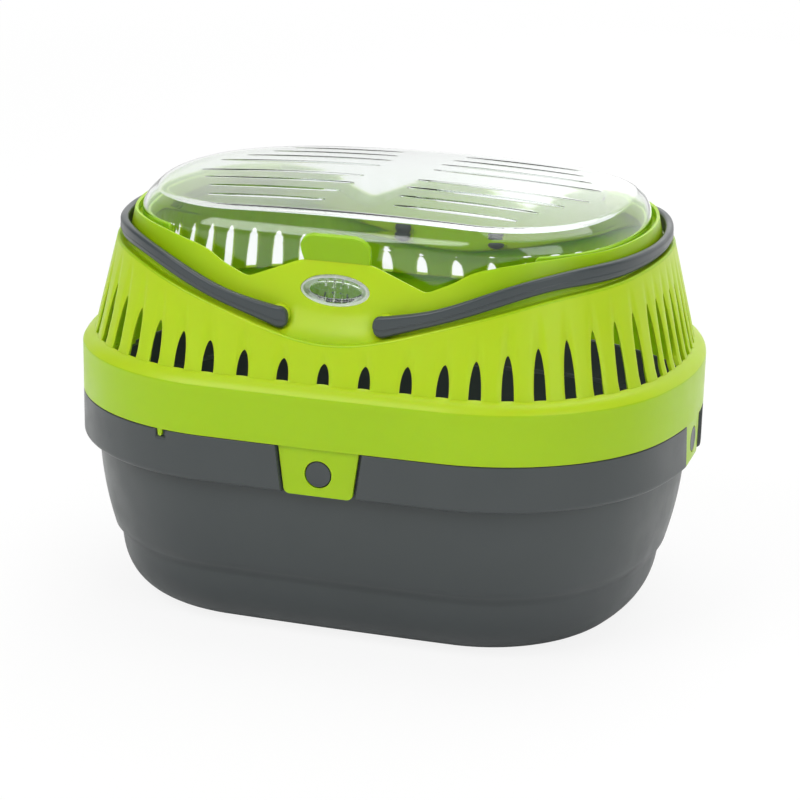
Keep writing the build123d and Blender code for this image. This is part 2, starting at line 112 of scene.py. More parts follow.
def smoothThrough(knots, values):
    # natural cubic spline: its second derivatives solve the usual three-row system
    knots, values = np.asarray(knots, float), np.asarray(values, float)
    step, count = np.diff(knots), len(knots)
    system, right = np.eye(count), np.zeros(count)
    for i in range(1, count - 1):
        system[i, i - 1:i + 2] = step[i - 1], 2 * (step[i - 1] + step[i]), step[i]
        right[i] = 6 * ((values[i + 1] - values[i]) / step[i] - (values[i] - values[i - 1]) / step[i - 1])
    curve = np.linalg.solve(system, right)

    def evaluate(x):
        # value + slope t + curve t^2 / 2 + change of curve t^3 / 6h, in a step of length h
        i = np.clip(np.searchsorted(knots, x) - 1, 0, count - 2)
        t, h = x - knots[i], step[i]
        slope = (values[i + 1] - values[i]) / h - h * (2 * curve[i] + curve[i + 1]) / 6
        return values[i] + slope * t + curve[i] * t**2 / 2 + (curve[i + 1] - curve[i]) * t**3 / (6 * h)
    return evaluate


def smoothStep(low, high, x):
    # t^2 (3 - 2t) between low and high
    t = np.clip((x - low) / (high - low), 0, 1)
    return t * t * (3 - 2 * t)


def bend(start, corner, end, t):
    # rounded corner: (1 - t)^2 start + 2t (1 - t) corner + t^2 end
    return (1 - t) ** 2 * start + 2 * t * (1 - t) * corner + t**2 * end


def crossPairs(first, second):
    # every pair of two rows of numbers, as flat points
    return np.stack(np.meshgrid(first, second, indexing="ij"), -1).reshape(-1, 2)


def makeObject(name, points, faces, merge=0.02, zones=None):
    # mesh of points in millimetres; points nearer than merge become one, so that seams and poles close
    mesh = bpy.data.meshes.new(name)
    mesh.from_pydata((np.asarray(points) * mm).tolist(), [], [list(map(int, face)) for face in faces])
    if zones is not None:
        mesh.polygons.foreach_set("material_index", np.asarray(zones, np.int32))
    shape = bmesh.new()
    shape.from_mesh(mesh)
    bmesh.ops.remove_doubles(shape, verts=shape.verts, dist=merge * mm)
    bmesh.ops.dissolve_degenerate(shape, edges=shape.edges, dist=merge * mm / 4)
    shape.to_mesh(mesh)
    shape.free()
    mesh.polygons.foreach_set("use_smooth", np.full(len(mesh.polygons), True))
    piece = bpy.data.objects.new(name, mesh)
    scene.collection.objects.link(piece)
    return piece


def closeShape(piece, sharpFrom=None):
    # a face over every open loop, all faces outwards, and edges kept sharp from an angle in degrees
    shape = bmesh.new()
    shape.from_mesh(piece.data)
    bmesh.ops.holes_fill(shape, edges=shape.edges, sides=0)
    bmesh.ops.recalc_face_normals(shape, faces=shape.faces)
    shape.to_mesh(piece.data)
    shape.free()
    if sharpFrom:
        piece.data.set_sharp_from_angle(angle=math.radians(sharpFrom))


def gridFaces(across, along, closed=False):
    # quads of a grid numbered down its columns: i, i + along, i + along + 1, i + 1
    i = np.arange(across if closed else across - 1)[:, None] * along
    j = np.arange(along - 1)[None, :]
    nextColumn = (i + along) % (across * along)
    return np.stack([i + j, nextColumn + j, nextColumn + j + 1, i + j + 1], -1).reshape(-1, 4)


class Skin:
    # gathers the grids of one piece before its mesh is made; a zone is the number of its material
    def __init__(self):
        self.points, self.faces, self.zones, self.count = [], [], [], 0

    def addGrid(self, points, closed=False, zone=0):
        # quads between neighbouring columns and rows
        self.addFaces(points.reshape(-1, 3), gridFaces(*points.shape[:2], closed), zone)

    def addFaces(self, points, faces, zone=0):
        # faces numbered within their own points, moved on by the count of points before them
        self.faces += [[self.count + int(k) for k in face] for face in faces]
        self.zones += [zone] * len(faces)
        self.points.append(points)
        self.count += len(points)

    def build(self, name):
        # one object of all that was gathered
        return makeObject(name, np.concatenate(self.points), self.faces, zones=self.zones)


def insideHoles(points, holes):
    # True in a closed outline, where a line to one side passes an odd number of its edges
    inside = np.zeros(len(points), bool)
    for hole in holes:
        low, high = hole.min(0), hole.max(0)
        near = np.where(((points >= low) & (points <= high)).all(1))[0]
        if not len(near):
            continue
        ax, ay = hole[:, 0], hole[:, 1]
        bx, by = np.roll(ax, -1), np.roll(ay, -1)
        px, py = points[near, 0][:, None], points[near, 1][:, None]
        passes = (ay > py) != (by > py)
        with np.errstate(divide="ignore", invalid="ignore"):
            left = px < (bx - ax) * (py - ay) / (by - ay) + ax
        inside[near] |= (passes & left).sum(1) % 2 == 1
    return inside


def zoneWithHoles(border, filling, holes, margin):
    # triangles of a flat region: its border, hole outlines and filling points a margin away from them
    keep = ~insideHoles(filling, holes)
    for hole in holes:
        low, high = hole.min(0) - margin, hole.max(0) + margin
        near = np.where(keep & ((filling >= low) & (filling <= high)).all(1))[0]
        if len(near):
            gap = np.linalg.norm(filling[near][:, None] - hole[None], axis=2).min(1)
            keep[near[gap < margin]] = False
    loose = filling[keep]
    flat = np.concatenate([border, loose] + list(holes))
    edges = [(k, (k + 1) % len(border)) for k in range(len(border))]
    start = len(border) + len(loose)
    for hole in holes:
        edges += [(start + k, start + (k + 1) % len(hole)) for k in range(len(hole))]
        start += len(hole)
    result = delaunay_2d_cdt([Vector(p) for p in flat.tolist()], edges, [], 0, 1e-5)
    corners = np.array([tuple(p) for p in result[0]])
    faces = np.array(result[2])
    middles = corners[faces].mean(1)
    first, second, third = (corners[faces[:, k]] for k in range(3))
    turned = np.cross(second - first, third - first)
    faces[turned < 0] = faces[turned < 0][:, ::-1]
    inside = insideHoles(middles, [border])
    return corners, faces[inside & ~insideHoles(middles, holes) & (abs(turned) > 1e-6)]


def rectangleBorder(stations, rows, scale):
    # anticlockwise outline of a rectangle through its stations and scaled rows
    bottom = np.stack([stations, np.zeros(len(stations))], -1)
    top = np.stack([stations[::-1], np.full(len(stations), scale)], -1)
    rightSide = np.stack([np.full(len(rows) - 2, stations[-1]), rows[1:-1] * scale], -1)
    leftSide = np.stack([np.full(len(rows) - 2, stations[0]), rows[1:-1][::-1] * scale], -1)
    return np.concatenate([bottom, rightSide, top, leftSide])


def roundEdges(piece, edge, segments=2, angle=38):
    # every edge sharper than the angle rounded as a mould leaves it
    rounding = piece.modifiers.new("rounding", "BEVEL")
    rounding.width = edge * mm
    rounding.segments = segments
    rounding.limit_method = "ANGLE"
    rounding.angle_limit = math.radians(angle)
    rounding.use_clamp_overlap = True
    rounding.miter_outer = "MITER_ARC"
    normals = piece.modifiers.new("normals", "WEIGHTED_NORMAL")
    normals.keep_sharp = True


def addThickness(piece, thickness, edge, segments=2):
    # outer skin grown inwards by the thickness, then its edges rounded
    wall = piece.modifiers.new("wall", "SOLIDIFY")
    wall.thickness = thickness * mm
    wall.offset = -1
    wall.use_even_offset = True
    wall.use_quality_normals = True
    roundEdges(piece, edge, segments)


def stationsRound(step, extras, first):
    # even runs round the whole outline, with extra ones in place of any nearer than 0.45 steps
    extras = first + np.mod(np.asarray(extras, float) - first, fullRun)
    base = first + np.linspace(0, fullRun, int(fullRun / step) + 1)
    gap = abs(base[:, None] - extras[None]).min(1)
    gap[0] = gap[-1] = fullRun
    return np.unique(np.concatenate([base[gap > 0.45 * step], extras]))


def spinProfile(profile, centre, axis, count=48):
    # centre + radius * (cos a side + sin a up) + distance * axis, for a profile of (radius, distance)
    axis = np.asarray(axis, float) / np.linalg.norm(axis)
    side = np.cross(axis, (0, 0, 1))
    side = side / np.linalg.norm(side)
    up = np.cross(axis, side)
    turn = np.linspace(0, fullTurn, count, endpoint=False)[:, None, None]
    radius, along = (np.array([p[k] for p in profile])[None, :, None] for k in (0, 1))
    return np.asarray(centre) + radius * (np.cos(turn) * side + np.sin(turn) * up) + along * axis


# roof: skirt, vent wall with slots and flutes, ledge for the handles, collar with its W-shaped rim
roof = {
    "wall": 2.2, "skinWall": 1.4, "edge": 0.4, "fittingEdge": 0.25, "parting": 101.4, "step": 1.5,
    "skirtFlat": 122.0, "skirtEdge": 124.6, "skirtTop": 129.5, "skirtArc": 9.5, "edgeRound": 0.45,
    "sillInset": 5.7, "ventDraft": 0.25,
    "slotSill": 129.8, "slotWidth": 5.6, "slotLow": 9.0, "slotHigh": 33.5, "slotReach": 190.0,
    "sidePitch": 19.2, "sideSlots": 3, "cornerPitch": 14.55, "cornerSlots": 8, "endSlots": 4,
    "roundFrom": 50.0,  # run from which the outline's corner stretches a slot
    "fluteRadius": 5.0, "fluteDepth": 1.5, "fluteMargin": 2.5, "fluteSoft": 0.01, "fluteFade": 0.15,
    "saddleLevel": 147.3, "saddleShares": (0, 0.2, 0.373, 0.547, 0.687, 0.813, 0.9),
    "saddleRises": (0, 4.7, 12.7, 20.6, 25.9, 28.5, 31.4),
    "crestRound": 1.1, "footRound": 1.6,
    "plateHalf": 24.0, "plateRamp": 12.5, "rampEasing": 0.65, "rampInside": 17.0, "rampOutside": 27.0,
    "rampLevel": 160.0, "rampStation": 20.0,
    "collarLevels": ((142.9, 19.2), (169.3, 21.8), (191.6, 26.4)),
    "rimTop": 189.4, "rimInset": 23.0, "humpTop": 181.8, "humpHalf": 16.5, "notchX": 42.0,
    "notchDrop": 17.6, "shoulderShares": (0.363, 0.407, 0.48, 0.573, 0.693),
    "shoulderDrops": (12.1, 8.0, 4.7, 2.2, 0.6),
    "rimStep": 0.2, "rimSoft": 17,  # the rim line's corners are rounded over so many steps
}
saddleKnots = np.array(roof["saddleShares"]) * outline["halfLength"]
saddleTops = np.array(roof["saddleRises"]) + roof["saddleLevel"]
saddleSpline = smoothThrough(np.concatenate([-saddleKnots[:0:-1], saddleKnots]),
                             np.concatenate([saddleTops[:0:-1], saddleTops]))
shoulderKnots = np.array(roof["shoulderShares"]) * outline["halfLength"]
shoulderTops = roof["rimTop"] - np.array(roof["shoulderDrops"])
rimPlaces = np.arange(0, outline["halfLength"] + roof["rimStep"], roof["rimStep"])
rimHeights = np.interp(
    rimPlaces,
    [0, roof["humpHalf"], roof["notchX"], shoulderKnots[0], shoulderKnots[-1], outline["halfLength"]],
    [roof["humpTop"], roof["humpTop"], roof["rimTop"] - roof["notchDrop"], shoulderTops[0],
     shoulderTops[-1], roof["rimTop"]])
onShoulder = (rimPlaces > shoulderKnots[0]) & (rimPlaces <= shoulderKnots[-1])
rimHeights = np.where(onShoulder, smoothThrough(shoulderKnots, shoulderTops)(rimPlaces), rimHeights)
softening = np.ones(roof["rimSoft"]) / roof["rimSoft"]
rimHeights = np.convolve(np.pad(rimHeights, roof["rimSoft"] - 1, mode="edge"),
                         np.convolve(softening, softening), mode="valid")


def rimHeight(x):
    # rim line of the collar, read at |x|
    return np.interp(abs(x), rimPlaces, rimHeights)


def saddleHeight(x):
    # saddle spline at |x|, level past its last point
    return saddleSpline(np.clip(abs(x), 0, saddleKnots[-1]))


def saddleAtInset(run, inset):
    # saddle over the point that lies inwards from the outline
    return saddleHeight(placePoints(run, inset, 0)[..., 0])


def collarInset(z):
    # parabola through the collar's foot, plate and top
    total = 0
    for level, inset in roof["collarLevels"]:
        share = inset
        for other, _ in roof["collarLevels"]:
            if other != level:
                share = share * (z - other) / (level - other)
        total = total + share
    return total


def ventInset(z):
    # inset of the sill + draft * height over the skirt
    return roof["sillInset"] + roof["ventDraft"] * (z - roof["skirtTop"])


def slotPlaces():
    # run and rise of each slot: equal pitches along the sill, rise growing with sin^2 of the travel
    radii = [outline["sideRadius"], outline["cornerRadius"], outline["endRadius"]]
    turns = [quarterTurn - sideTurn, sideTurn - endTurn, endTurn]
    sillRuns = np.cumsum([0] + [t * (r - roof["sillInset"]) for t, r in zip(turns, radii)])
    outerRuns = np.cumsum([0] + [t * r for t, r in zip(turns, radii)])
    travels = [roof["sidePitch"] * k for k in range(roof["sideSlots"])]
    cornerStart = travels[-1] + (roof["sidePitch"] + roof["cornerPitch"]) / 2
    travels += [cornerStart + roof["cornerPitch"] * k for k in range(roof["cornerSlots"])]
    endStart = cornerStart + roof["cornerPitch"] * roof["cornerSlots"]
    travels = np.array(travels + list(np.linspace(endStart, sillRuns[-1], roof["endSlots"] + 1)))
    runs = np.interp(travels, sillRuns, outerRuns)
    climbs = np.sin(quarterTurn * np.minimum(1, travels / roof["slotReach"])) ** 2
    rises = roof["slotLow"] + (roof["slotHigh"] - roof["slotLow"]) * climbs
    places = [(run, rise) for run, rise in zip(runs, rises)]
    places += [(fullRun / 2 - run, rise) for run, rise in zip(runs[:-1], rises[:-1])]
    places += [(fullRun / 2 + run, rise) for run, rise in zip(runs[1:], rises[1:])]
    places += [(fullRun - run, rise) for run, rise in zip(runs[1:-1], rises[1:-1])]
    return places


def fluteDip(run, z):
    # groove over each slot: depth (1 - climb^2) - away^2 / (2 radius), softly cut off at 0
    point, normal = walkOutline(run)
    crest = saddleHeight(point[..., 0] - ventInset(z) * normal[..., 0]) - roof["fluteMargin"]
    climb = np.clip((z - roof["skirtTop"]) / (crest - roof["skirtTop"]), 0, 1)
    depth = roof["fluteDepth"] * (1 - climb**2)
    raw = depth - runAway(run, slotRuns) ** 2 / (2 * roof["fluteRadius"])
    return (raw + np.sqrt(raw**2 + roof["fluteSoft"])) / 2 * smoothStep(0, roof["fluteFade"], depth)


def ventHigh(run):
    # height where the vent wall meets the saddle, found by halved steps, less the crest's rounding
    z = np.full(run.shape, 150.0)  # a start near the answer, as in the two searches below
    point, normal = walkOutline(run)
    for _ in range(30):
        z = 0.5 * z + 0.5 * saddleHeight(point[..., 0] - ventInset(z) * normal[..., 0])
    return z - roof["crestRound"]


def ventShare(run, z):
    # height over the skirt / height of the vent wall there, on the flat region's scale
    return (z - roof["skirtTop"]) / (ventHigh(run) - roof["skirtTop"]) * ventScale


def slotOutline(rise, count=14):
    # half width * (1 - t^2.5)^0.62: straight foot, bulging sides, round head
    t = 1 - (1 - np.linspace(0, 1, count)) ** 1.7
    width = roof["slotWidth"] / 2 * (1 - t**2.5) ** 0.62
    right = np.stack([width, t * rise], -1)
    foot = np.stack([np.linspace(-1, 1, 6)[1:-1] * roof["slotWidth"] / 2, np.zeros(4)], -1)
    return np.concatenate([foot, right, right[:-1][::-1] * (-1, 1)])


slots = slotPlaces()
slotRuns = np.array([run for run, _ in slots])
ventCut = roof["sidePitch"] / 2  # the unrolled wall starts between two slots
ventRows, ventScale, slotMargin = np.linspace(0, 1, 19), 30.0, 0.6
rimCorners = (roof["humpHalf"], roof["notchX"], shoulderKnots[0])
frontCorners = rimCorners + (roof["rampStation"], roof["plateHalf"])
cornerRuns = [side * runAtX(x, roof["rimInset"]) for x in frontCorners for side in (1, -1)]
cornerRuns += [fullRun / 2 - side * runAtX(x, roof["rimInset"]) for x in rimCorners for side in (1, -1)]
roofRuns = stationsRound(roof["step"], cornerRuns, ventCut)

# skirt with a crisp edge, and the crown that rises from it to the sill in one arc
roofSkin = Skin()
crownRun, crownRise = roof["sillInset"], roof["skirtTop"] - roof["skirtEdge"]
crownHalf = math.hypot(crownRun, crownRise) / 2
crownDrop = math.sqrt(roof["skirtArc"] ** 2 - crownHalf**2) / (2 * crownHalf)
crownMiddle = (crownRun / 2 + crownDrop * crownRise, roof["skirtEdge"] + crownRise / 2 - crownDrop * crownRun)
arcFirst = math.atan2(roof["skirtEdge"] - crownMiddle[1], -crownMiddle[0]) \
    - roof["edgeRound"] / roof["skirtArc"]
arcLast = math.atan2(roof["skirtTop"] - crownMiddle[1], roof["sillInset"] - crownMiddle[0])
arc = np.linspace(arcFirst, arcLast, 8)
crownD = crownMiddle[0] + roof["skirtArc"] * np.cos(arc)
crownZ = crownMiddle[1] + roof["skirtArc"] * np.sin(arc)
t = np.linspace(0, 1, 5)[:-1]
edgeD = bend(0, 0, crownD[0], t)
edgeZ = bend(roof["skirtEdge"] - roof["edgeRound"], roof["skirtEdge"], crownZ[0], t)
skirtD = np.concatenate([np.zeros(5), edgeD, crownD[:1]])
skirtZ = np.concatenate([np.linspace(roof["parting"], roof["skirtFlat"], 5), edgeZ, crownZ[:1]])
roofSkin.addGrid(placePoints(roofRuns[:, None], skirtD[None], skirtZ[None]))
# painted light: the crown is zone 1 and takes the vent wall's lighter, yellower copy of the lime, which
# stands in for the stronger light on surfaces that face up
roofSkin.addGrid(placePoints(roofRuns[:, None], crownD[None], crownZ[None]), zone=1)

# vent wall, unrolled, with the slots as holes
slotLoops = []
for run, rise in slots:
    loop = slotOutline(rise)
    onCorner = roof["roundFrom"] < np.mod(run, fullRun / 2) < fullRun / 2 - roof["roundFrom"]
    stretch = outline["cornerRadius"] / (outline["cornerRadius"] - roof["sillInset"]) if onCorner else 1.0
    loopRun = ventCut + np.mod(run - ventCut, fullRun) + loop[:, 0] * stretch
    slotLoops.append(np.stack([loopRun, ventShare(loopRun, roof["slotSill"] + loop[:, 1])], -1))
corners, faces = zoneWithHoles(rectangleBorder(roofRuns, ventRows, ventScale),
                               crossPairs(roofRuns[1:-1], ventRows[1:-1] * ventScale), slotLoops, slotMargin)
ventRun, ventUp = corners[:, 0], corners[:, 1] / ventScale
ventZ = roof["skirtTop"] + ventUp * (ventHigh(ventRun) - roof["skirtTop"])
fade = smoothStep(0, 0.02, ventUp) * smoothStep(0, 0.02, 1 - ventUp)  # no flute on the shared borders
ventD = ventInset(ventZ) + fade * fluteDip(ventRun, ventZ)
# zone 1: the vent wall is painted lighter and yellower than the skirt, as painted light for its upward tilt
roofSkin.addFaces(placePoints(ventRun, ventD, ventZ), faces, zone=1)
print("vent wall:", len(faces), "faces")

# crest rounding, ledge along the saddle, and a bend into the collar that is a long ramp under the plate
plateX = placePoints(roofRuns, collarInset(roof["rampLevel"]), 0)[:, 0]
onFront = placePoints(roofRuns, 0, 0)[:, 1] < 0
rampShare = (1 - smoothStep(roof["rampInside"], roof["rampOutside"], abs(plateX))) * onFront
footRound = roof["footRound"] + (roof["plateRamp"] - roof["footRound"]) * rampShare
wallTop = ventHigh(roofRuns)
crestTurns = np.linspace(0, quarterTurn, 6)
columnD = [ventInset(wallTop) + roof["crestRound"] * (1 - math.cos(angle)) for angle in crestTurns]
columnZ = [wallTop + roof["crestRound"] * math.sin(angle) for angle in crestTurns]
crestEnd = columnD[-1]
ledgeLift = columnZ[-1] - saddleAtInset(roofRuns, crestEnd)
footD = np.full(roofRuns.shape, 20.0)
for _ in range(20):  # where the saddle meets the collar, by halved steps
    footZ = saddleAtInset(roofRuns, footD)
    footD = 0.5 * footD + 0.5 * collarInset(footZ)
ledgeEnd = footD - np.minimum(footRound, 0.9 * (footD - crestEnd))
for share in (0.33, 0.66, 1.0):
    inset = crestEnd + share * (ledgeEnd - crestEnd)
    columnD.append(inset)
    columnZ.append(saddleAtInset(roofRuns, inset) + ledgeLift * (1 - share))
riseD, riseZ = collarInset(footZ + footRound), footZ + footRound
startD, startZ = columnD[-1], columnZ[-1]
easing = roof["rampEasing"] * rampShare  # draws the middle of the bend towards its chord
middleD = footD + easing * ((startD + riseD) / 2 - footD)
middleZ = footZ + easing * ((startZ + riseZ) / 2 - footZ)
for t in np.linspace(0, 1, 8)[1:]:
    columnD.append(bend(startD, middleD, riseD, t))
    columnZ.append(bend(startZ, middleZ, riseZ, t))
roofSkin.addGrid(placePoints(roofRuns[:, None], np.stack(columnD, -1), np.stack(columnZ, -1)))


def rimOf(run):
    # rim height over a run: the rim line read again and again where the collar stands at that height
    z = np.full(run.shape, 185.0)
    for _ in range(12):
        z = rimHeight(placePoints(run, collarInset(z), 0)[..., 0])
    return z


def collarFootOf(run):
    # top of the foot's bend, read between stations
    return np.interp(ventCut + np.mod(run - ventCut, fullRun), roofRuns, riseZ)


# collar: a grid all round, and the front plate with the latch's oval as a hole
latch = {"length": 32.0, "height": 13.8, "level": 169.3, "gap": 0.3, "proud": 0.7, "flangeWall": 1.2,
         "flangeOverlap": 1.2, "plateInset": 21.8, "ovalInset": 22.0, "lean": 0.985, "slopeReach": 2.2}
collarRows, collarScale = np.linspace(0, 1, 11), 22.0
plateEdge = runAtX(roof["plateHalf"], roof["rimInset"])
signedRuns = np.mod(roofRuns + fullRun / 2, fullRun) - fullRun / 2
plateRuns = np.sort(signedRuns[abs(signedRuns) <= plateEdge + 1e-6])
plateRuns = plateRuns[np.concatenate([[True], np.diff(plateRuns) > 1e-6])]
outside = np.where(abs(signedRuns) >= plateEdge - 1e-6)[0]
outside = outside[np.argsort(np.mod(signedRuns[outside], fullRun))]
outerRuns = np.mod(signedRuns[outside], fullRun)
lowZ, highZ = riseZ[outside], rimOf(roofRuns)[outside]
heights = lowZ[:, None] + collarRows[None] * (highZ - lowZ)[:, None]
roofSkin.addGrid(placePoints(outerRuns[:, None], collarInset(heights), heights))
turn = np.linspace(0, fullTurn, 72, endpoint=False)
ovalStretch = outline["sideRadius"] / (outline["sideRadius"] - latch["ovalInset"])
ovalRun = (latch["length"] / 2 + latch["gap"]) * np.cos(turn) * ovalStretch
ovalZ = latch["level"] + (latch["height"] / 2 + latch["gap"]) * np.sin(turn) * latch["lean"]
ovalShare = (ovalZ - collarFootOf(ovalRun)) / (rimOf(ovalRun) - collarFootOf(ovalRun)) * collarScale
corners, faces = zoneWithHoles(rectangleBorder(plateRuns, collarRows, collarScale),
                               crossPairs(plateRuns[1:-1], collarRows[1:-1] * collarScale),
                               [np.stack([ovalRun, ovalShare], -1)], slotMargin)
plateLow, plateHigh = collarFootOf(corners[:, 0]), rimOf(corners[:, 0])
plateZ = plateLow + corners[:, 1] / collarScale * (plateHigh - plateLow)
roofSkin.addFaces(placePoints(corners[:, 0], collarInset(plateZ), plateZ), faces)
roofShell = roofSkin.build("roof_skin")
addThickness(roofShell, roof["skinWall"], roof["edge"])
print("roof skin:", len(roofShell.data.polygons), "faces")

# lips that hold the lid's ends: a closed section carried along each end, lower where it starts and stops
lips = {"start": 86.0, "startInset": 32.0, "rootInset": 26.0, "inset": 31.45, "wall": 1.8, "drop": 1.3,
        "floor": 183.8, "taper": 3.2, "stub": 0.15, "round": 0.7, "soft": 0.25}
fittings = Skin()
firstRun = runAtX(lips["start"], lips["startInset"])
lastRun = fullRun / 2 - firstRun
taperRuns = np.linspace(0, lips["taper"], 8)
inner, outer = lips["inset"] + lips["wall"], lips["inset"]
loopD = np.array([lips["rootInset"], inner, inner, inner - lips["soft"], inner - lips["round"],
                  outer + lips["round"], outer + lips["soft"], outer, outer, lips["rootInset"]])
for endStart in (0, fullRun / 2):
    runs = np.unique(np.concatenate([np.linspace(firstRun, lastRun, 150), firstRun + taperRuns,
                                     lastRun - taperRuns])) + endStart
    nearEnd = np.clip(np.minimum(runs - runs[0], runs[-1] - runs) / lips["taper"], 0, 1)
    grow = lips["stub"] + (1 - lips["stub"]) * np.sqrt(np.clip(1 - (1 - nearEnd) ** 2, 0, 1))
    lipTop = lips["floor"] + (roof["rimTop"] - lips["drop"] - lips["floor"]) * grow
    lipFloor = lips["floor"] + 0 * runs
    lipUnder, lipSide, lipSoft = lipFloor - roof["wall"], lipTop - lips["round"], lipTop - lips["soft"]
    loopZ = np.stack([lipUnder, lipUnder, lipSide, lipSoft, lipTop, lipTop, lipSoft, lipSide,
                      lipFloor, lipFloor], -1)
    ring = placePoints(runs[:, None], np.concatenate([loopD, loopD[:1]])[None],
                       np.concatenate([loopZ, loopZ[:, :1]], 1))
    fittings.addGrid(ring[:, ::-1])
    fittings.addFaces(ring[0, :-1], [list(range(len(loopD)))])
    fittings.addFaces(ring[-1, :-1], [list(range(len(loopD)))[::-1]])

# bosses round the pins
pivot = {"x": 25.0, "z": 156.4, "bossRadius": 5.0, "bossFace": 18.0, "bossRound": 0.9, "bossSoft": 0.3,
         "pinRadius": 3.0, "pinGap": 0.1, "headRadius": 4.2, "headLength": 2.4, "headGap": 0.3,
         "headSide": 1.4, "headTaper": 0.9}
bossBack = float(collarInset(pivot["z"] + pivot["bossRadius"])) + roof["wall"]
bossEnd, boreRadius = -(bossBack - pivot["bossFace"]), pivot["pinRadius"] + pivot["pinGap"]
bossProfile = [(boreRadius, bossEnd), (pivot["bossRadius"], bossEnd),
               (pivot["bossRadius"], -pivot["bossRound"]),
               (pivot["bossRadius"] - pivot["bossSoft"], -pivot["bossSoft"]),
               (pivot["bossRadius"] - pivot["bossRound"], 0.0), (boreRadius, 0.0), (boreRadius, bossEnd)]
for face in (-1, 1):
    for side in (-1, 1):
        centre = (side * pivot["x"], face * (outline["halfWidth"] - pivot["bossFace"]), pivot["z"])
        fittings.addGrid(spinProfile(bossProfile, centre, (0, face, 0)), closed=True)

# locating nub under the skirt, and the notch that the tub has for it
nub = {"x": -77.5, "width": 2.6, "drop": 3.5, "front": 0.25, "back": 1.9, "root": 1.5, "bluntness": 3.2,
       "notchShift": 0.6, "notchSide": 1.4, "notchOver": 0.5, "notchDepth": 1.6}
nubRun = runAtX(nub["x"], 0)
across = np.linspace(-1, 1, 9)
nubFoot = roof["parting"] - nub["drop"] * np.sqrt(np.clip(1 - abs(across) ** nub["bluntness"], 0, 1))
nubHead = roof["parting"] + nub["root"] + 0 * across
nubRing = np.stack([placePoints(nubRun + across * nub["width"] / 2, nub[face], z) for face, z in (
    ("front", nubHead), ("front", nubFoot), ("back", nubFoot), ("back", nubHead), ("front", nubHead))], 1)
fittings.addGrid(nubRing[::-1])
roofFittings = fittings.build("roof_fittings")
closeShape(roofFittings, 40)
roundEdges(roofFittings, roof["fittingEdge"])

# finger tab over the latch, leaning outwards, with a belly in its sides and round upper corners
tab = {"width": 31.0, "height": 13.5, "lean": 21.0, "wall": 2.2, "corner": 6.0, "belly": 0.9, "bow": 0.5,
       "root": 0.12, "edge": 0.6, "columns": 25, "rows": 15}
tabSide, tabUp = np.meshgrid(np.linspace(-1, 1, tab["columns"]), np.linspace(-tab["root"], 1, tab["rows"]),
                             indexing="ij")
risen = np.clip(tabUp, 0, 1)
headShare = np.clip((tabUp * tab["height"] - (tab["height"] - tab["corner"])) / tab["corner"], 0, 1)
halfWidth = tab["width"] / 2 - tab["corner"] * (1 - np.sqrt(np.clip(1 - headShare**2, 0, 1))) \
    + tab["belly"] * np.sin(halfTurn * risen) * (1 - headShare)
tabOut = tabUp * tab["height"] * math.sin(math.radians(tab["lean"])) + tab["bow"] * risen**2
tabY = collarInset(roof["humpTop"]) - outline["halfWidth"] - tabOut
tabZ = roof["humpTop"] + tabUp * tab["height"] * math.cos(math.radians(tab["lean"]))
fingerTab = makeObject("finger_tab", np.stack([tabSide * halfWidth, tabY, tabZ], -1).reshape(-1, 3),
                       gridFaces(tab["columns"], tab["rows"]))
addThickness(fingerTab, tab["wall"], tab["edge"], 3)

# snap tabs under the skirt, one on each side, each with a round window for the stud
snap = {"top": 39.0, "bottom": 33.0, "drop": 22.7, "root": 3.0, "inset": 1.5, "wall": 2.0, "corner": 3.0,
        "edge": 0.35, "sideGap": 0.75, "windowShift": 0.4, "pocket": 3.8, "margin": 0.7, "fill": 2.0,
        "studDrop": 12.3, "studRadius": 5.9, "studGap": 0.45}
snapFoot, snapHead = roof["parting"] - snap["drop"], roof["parting"] + snap["root"]
bow = np.linspace(0, quarterTurn, 7)
rightCorner = np.stack([snap["bottom"] / 2 - snap["corner"] * (1 - np.sin(bow)),
                        snapFoot + snap["corner"] * (1 - np.cos(bow))], -1)
rightSide = np.stack([np.linspace(snap["bottom"] / 2, snap["top"] / 2, 9)[1:],
                      np.linspace(snapFoot + snap["corner"], snapHead, 9)[1:]], -1)
topLine = np.stack([np.linspace(snap["top"] / 2, -snap["top"] / 2, 14)[1:-1], np.full(12, snapHead)], -1)
snapBorder = np.concatenate([rightCorner[::-1] * (-1, 1), rightCorner, rightSide, topLine,
                             rightSide[::-1] * (-1, 1)])
studTurn = np.linspace(0, fullTurn, 56, endpoint=False)
studHole = np.stack([np.cos(studTurn), np.sin(studTurn)], -1) * (snap["studRadius"] + snap["studGap"]) \
    + (0, roof["parting"] - snap["studDrop"])
snapFill = crossPairs(np.arange(-19, 19.1, snap["fill"]),
                      np.arange(snapFoot + 1, snapHead - 0.4, snap["fill"]))
snapFill = snapFill[insideHoles(snapFill, [snapBorder * (0.97, 1) + (0, 0.2)])]
corners, faces = zoneWithHoles(snapBorder, snapFill, [studHole], snap["margin"])
snapTabs = Skin()
for middle in sideRuns:
    snapTabs.addFaces(placePoints(middle + corners[:, 0], snap["inset"], corners[:, 1]), faces)
roofTabs = snapTabs.build("snap_tabs")
addThickness(roofTabs, snap["wall"], snap["edge"])
print("roof fittings done")

# tub: profile carried round the outline, recesses behind the snap tabs, a notch for the nub, and studs
tub = {"wall": 2.2, "floorInset": 47.0, "heelInset": 18.0, "creaseInset": 17.6, "creaseHeight": 31.2,
       "creaseStep": 3.4, "creaseRise": 2.8, "bulge": 1.6, "waistInset": 7.4, "bandBottom": 79.2,
       "bandRound": 2.3, "rim": 101.1, "rimRound": 0.35, "step": 2.2, "fineStep": 0.3,
       "fineReach": (16.5, 22.6)}  # from a recess's middle
seamRun = 30.0  # run at which the stations of tub and lid start


